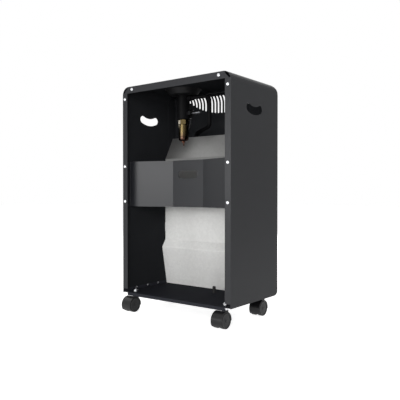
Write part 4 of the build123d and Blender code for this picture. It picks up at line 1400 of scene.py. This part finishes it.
@dataclass
class Control(SubAssembly):
    """Gas valve with its pipes and brass housing, and the knob in its dish."""

    axis_x: float = 75.0
    axis_y: float = -16.0
    knob_low: float = 708.0
    knob_radius: float = 23.0
    knob_height: float = 14.0
    flutes: int = 30
    flute_depth: float = 0.55
    flute_power: float = 3.0
    grip_half: float = 19.25
    grip_width: float = 6.0
    housing_low: float = 550.0
    housing_high: float = 621.0
    housing_radius: float = 16.5
    foot_radius: float = 8.2
    hexagon: float = 16.0
    hexagon_flats: float = 30.0

    def build(self) -> None:
        """Build the knob and the housing, and dress the rest."""
        dress(DULL_BLACK, "control_dish")
        dress(VALVE_BLACK, "valve_body", "burner_pipe", "outlet_gland")
        dress(BRASS, "valve_plug", "valve_lock_nut")
        dress(NOZZLE_PLATE, "inlet_nozzle")
        dress(PRESSED_STEEL, "valve_spindle")
        dress(COPPER, "lead_nut")
        self.add_knob()
        self.add_housing()

    def add_knob(self) -> None:
        """Knob: a turned cap with a fluted skirt, and a rounded grip bar across its top.

        The skirt's radius falls in each flute by the flute's depth times a power of a cosine
        of the angle, which leaves narrow ribs between wide hollows.
        """

        def flute(radius: Array, height: Array, angle: Array) -> tuple[Array, Array]:
            """Radius cut by the flutes between the skirt's rims, and the height as it is.

            Args:
                radius: Radius of each point.
                height: Height of each point.
                angle: Angle of each point round the axis.

            Returns:
                The new radius and height.
            """
            hollow = 1 - np.abs(np.cos(self.flutes * angle / 2)) ** self.flute_power
            skirt = np.clip((radius - 20.4) / 0.4, 0, 1) * np.clip((11.5 - height) / 1.5, 0, 1)
            skirt = skirt * np.clip((height - 1.2) / 0.6, 0, 1)
            return radius - self.flute_depth * hollow * skirt, height

        wide, high = self.knob_radius, self.knob_height
        cap = [
            (0, high), (15.5, high), (17.6, high - 0.15), (19.3, high - 0.8), (20.6, high - 1.9),
            (21.2, high - 3.2), (21.4, 9.6), (21.8, 7.0), (22.2, 4.4), (22.6, 2.2), (22.8, 1.6),
            (wide, 1.2), (wide, 0.4), (wide - 0.4, 0), (18.6, 0), (18.5, 0.3), (18.5, 7.0),
            (6, 7.0), (6, 5.2), (3.56, 5.2), (3.56, 11.7), (0, 11.7),
        ]
        grip = slab(self.grip_half, self.grip_width, self.grip_width, [
            (0.0, high - 1.0), (0.0, high + 2.6), (0.15, high + 3.6), (0.7, high + 4.2),
            (1.6, high + 4.4),
        ])
        grip.points = grip.points[:, [1, 0, 2]]
        parts = [turned(cap, 240, flute), grip]
        parts = [part.moved(self.axis_x, self.axis_y, self.knob_low) for part in parts]
        add_piece("fluted_knob", parts, KNOB_PLASTIC, "knob", ["control_knob"])

    def add_housing(self) -> None:
        """Housing: a hexagon over a turned barrel with a groove, a bead and a rounded foot."""
        bottom = self.housing_low - self.housing_high
        corner = np.linspace(0, np.pi / 2, 8)
        wide, ease, top = self.housing_radius, self.foot_radius, -self.hexagon
        foot = [(wide - ease * (1 - np.sin(a)), bottom + ease * (1 - np.cos(a))) for a in corner]
        barrel = [
            (0, bottom), *foot, (wide, bottom + 13.0), (wide - 0.6, bottom + 13.4),
            (wide - 0.6, bottom + 14.8), (wide, bottom + 15.2), (wide, top - 14.0),
            (wide - 0.5, top - 13.7), (wide - 0.5, top - 12.3), (wide, top - 12.0),
            (wide, top - 1.2), (wide - 1.2, top), (12.0, top), (12.0, top + 0.4),
            (0, top + 0.4),
        ]
        flats = self.hexagon_flats
        sides = [(flats, top * (1 - level)) for level in chamfer_levels(0.1)]
        head = turned([(0, top), *sides, (0, 0)], 96, hex_rule(flats, top, 0))
        parts = [
            part.moved(self.axis_x, self.axis_y, self.housing_high)
            for part in (turned(barrel, 64), head)
        ]
        add_piece("brass_housing", parts, SHADED_HOT_BRASS, "cabinet", ["magnet_housing"])


# ---------------------------------------------------------------- studio
@dataclass(frozen=True)
class Lamp:
    """One soft lamp, aimed at a point."""

    name: str
    place: tuple[float, float, float]
    aim: tuple[float, float, float]
    width: float
    height: float
    power: float
    mirrored: bool = True

    def hang(self) -> None:
        """Add the lamp to the scene."""
        light = bpy.data.lights.new(self.name, "AREA")
        light.shape = "RECTANGLE"
        light.size = self.width
        light.size_y = self.height
        light.energy = self.power
        lamp = bpy.data.objects.new(self.name, light)
        lamp.visible_glossy = self.mirrored
        way = Vector(self.aim) - Vector(self.place)
        turn = way.to_track_quat("-Z", "Y").to_matrix().to_4x4()
        lamp.matrix_world = Matrix.Translation(self.place) @ turn
        bpy.context.scene.collection.objects.link(lamp)


@dataclass(frozen=True)
class Studio:
    """White room: floor, world light, lamps and the photograph's camera."""

    floor_half: float = 14.0
    world_light: float = 0.2
    floor_lift: float = 0.75
    lens: float = 47.23
    camera_place: tuple[float, float, float] = (-1.0188, 1.3298, 0.3808)
    camera_forward: tuple[float, float, float] = (0.6062, -0.7952, -0.01396)
    lamps: tuple[Lamp, ...] = (
        Lamp("rear_lamp", (0.3, 2.8, 0.64), (0.0, 0.1, 0.4), 2.4, 0.6, 33.0),
        Lamp("camera_side_lamp", (-1.55, 2.25, 0.85), (0.0, 0.0, 0.35), 1.3, 1.3, 54.0, False),
        Lamp("front_lamp", (1.0, -2.6, 1.5), (0.0, 0.0, 0.4), 2.0, 2.0, 34.0),
        Lamp("far_side_lamp", (2.6, 0.2, 1.3), (0.0, 0.0, 0.4), 1.8, 1.8, 16.0),
    )

    def build(self) -> None:
        """Set up the floor, the light and the camera."""
        bpy.context.scene.view_settings.view_transform = "Standard"
        self.set_world()
        self.lay_floor()
        for lamp in self.lamps:
            lamp.hang()
        self.set_camera()
        LOG.info("studio ready with %d lamps", len(self.lamps))

    @staticmethod
    def seen(board: Board) -> Term:
        """1 for rays from the camera, in a reflection or through glass, and 0 for others.

        Args:
            board: Node tree to add the share to.

        Returns:
            The share.
        """
        rays = board.node("ShaderNodeLightPath").outputs
        camera, glossy, through = (
            Term(board, rays[f"Is {kind} Ray"]) for kind in ("Camera", "Glossy", "Transmission")
        )
        return board.math("MAXIMUM", board.math("MAXIMUM", camera, glossy), through)

    def set_world(self) -> None:
        """White world that lights the object less brightly than it looks."""
        world = bpy.data.worlds.new("studio_world")
        world.use_nodes = True
        bpy.context.scene.world = world
        board = Board(world.node_tree)
        strength = self.world_light + (1 - self.world_light) * self.seen(board)
        light = board.node(
            "ShaderNodeBackground", None, {"Color": (1, 1, 1, 1), "Strength": strength}
        )
        board.node("ShaderNodeOutputWorld", None, {"Surface": light.outputs[0]})

    def lay_floor(self) -> None:
        """Wide white floor that keeps the object's soft shadow."""
        half = self.floor_half
        steps = np.linspace(-half, half, 9)
        x, y = np.meshgrid(steps, steps, indexing="ij")
        grid = np.stack((x, y, np.zeros_like(x)), axis=-1)
        flat = Surface.from_grid(grid, ring=False)
        mesh = bpy.data.meshes.new("studio_floor")
        mesh.from_pydata(flat.points.tolist(), [], flat.quads.tolist())
        board = MaterialBoard("white_floor")
        patch = board.noise(700.0, 2.0)
        board.set(
            Base_Color=board.mix(patch, (0.93, 0.93, 0.93, 1), (0.95, 0.95, 0.95, 1)),
            Roughness=0.9,
            Emission_Color=board.mix(
                self.floor_lift * self.seen(board), (0, 0, 0, 1), (1, 1, 1, 1)
            ),
            Emission_Strength=1.0,
        )
        mesh.materials.append(board.material)
        floor = bpy.data.objects.new("studio_floor", mesh)
        bpy.context.scene.collection.objects.link(floor)

    def set_camera(self) -> None:
        """Camera where the photograph was taken from."""
        forward = Vector(self.camera_forward).normalized()
        right = forward.cross(Vector((0, 0, 1))).normalized()
        up = right.cross(forward)
        lens = bpy.data.cameras.new("photo_camera")
        lens.lens = self.lens
        lens.sensor_width = 36.0
        camera = bpy.data.objects.new("photo_camera", lens)
        turn = Matrix((right, up, -forward)).transposed().to_4x4()
        camera.matrix_world = Matrix.Translation(self.camera_place) @ turn
        bpy.context.scene.collection.objects.link(camera)
        bpy.context.scene.camera = camera


def main() -> None:
    """Build every sub-assembly in order, then the studio."""
    logging.basicConfig(level=logging.INFO, format="%(message)s")
    for assembly in (Cabinet(), Casters(), Burner(), PilotGroup(), Control()):
        LOG.info("building %s", type(assembly).__name__)
        assembly.build()
    Studio().build()


if __name__ == "__main__":
    main()
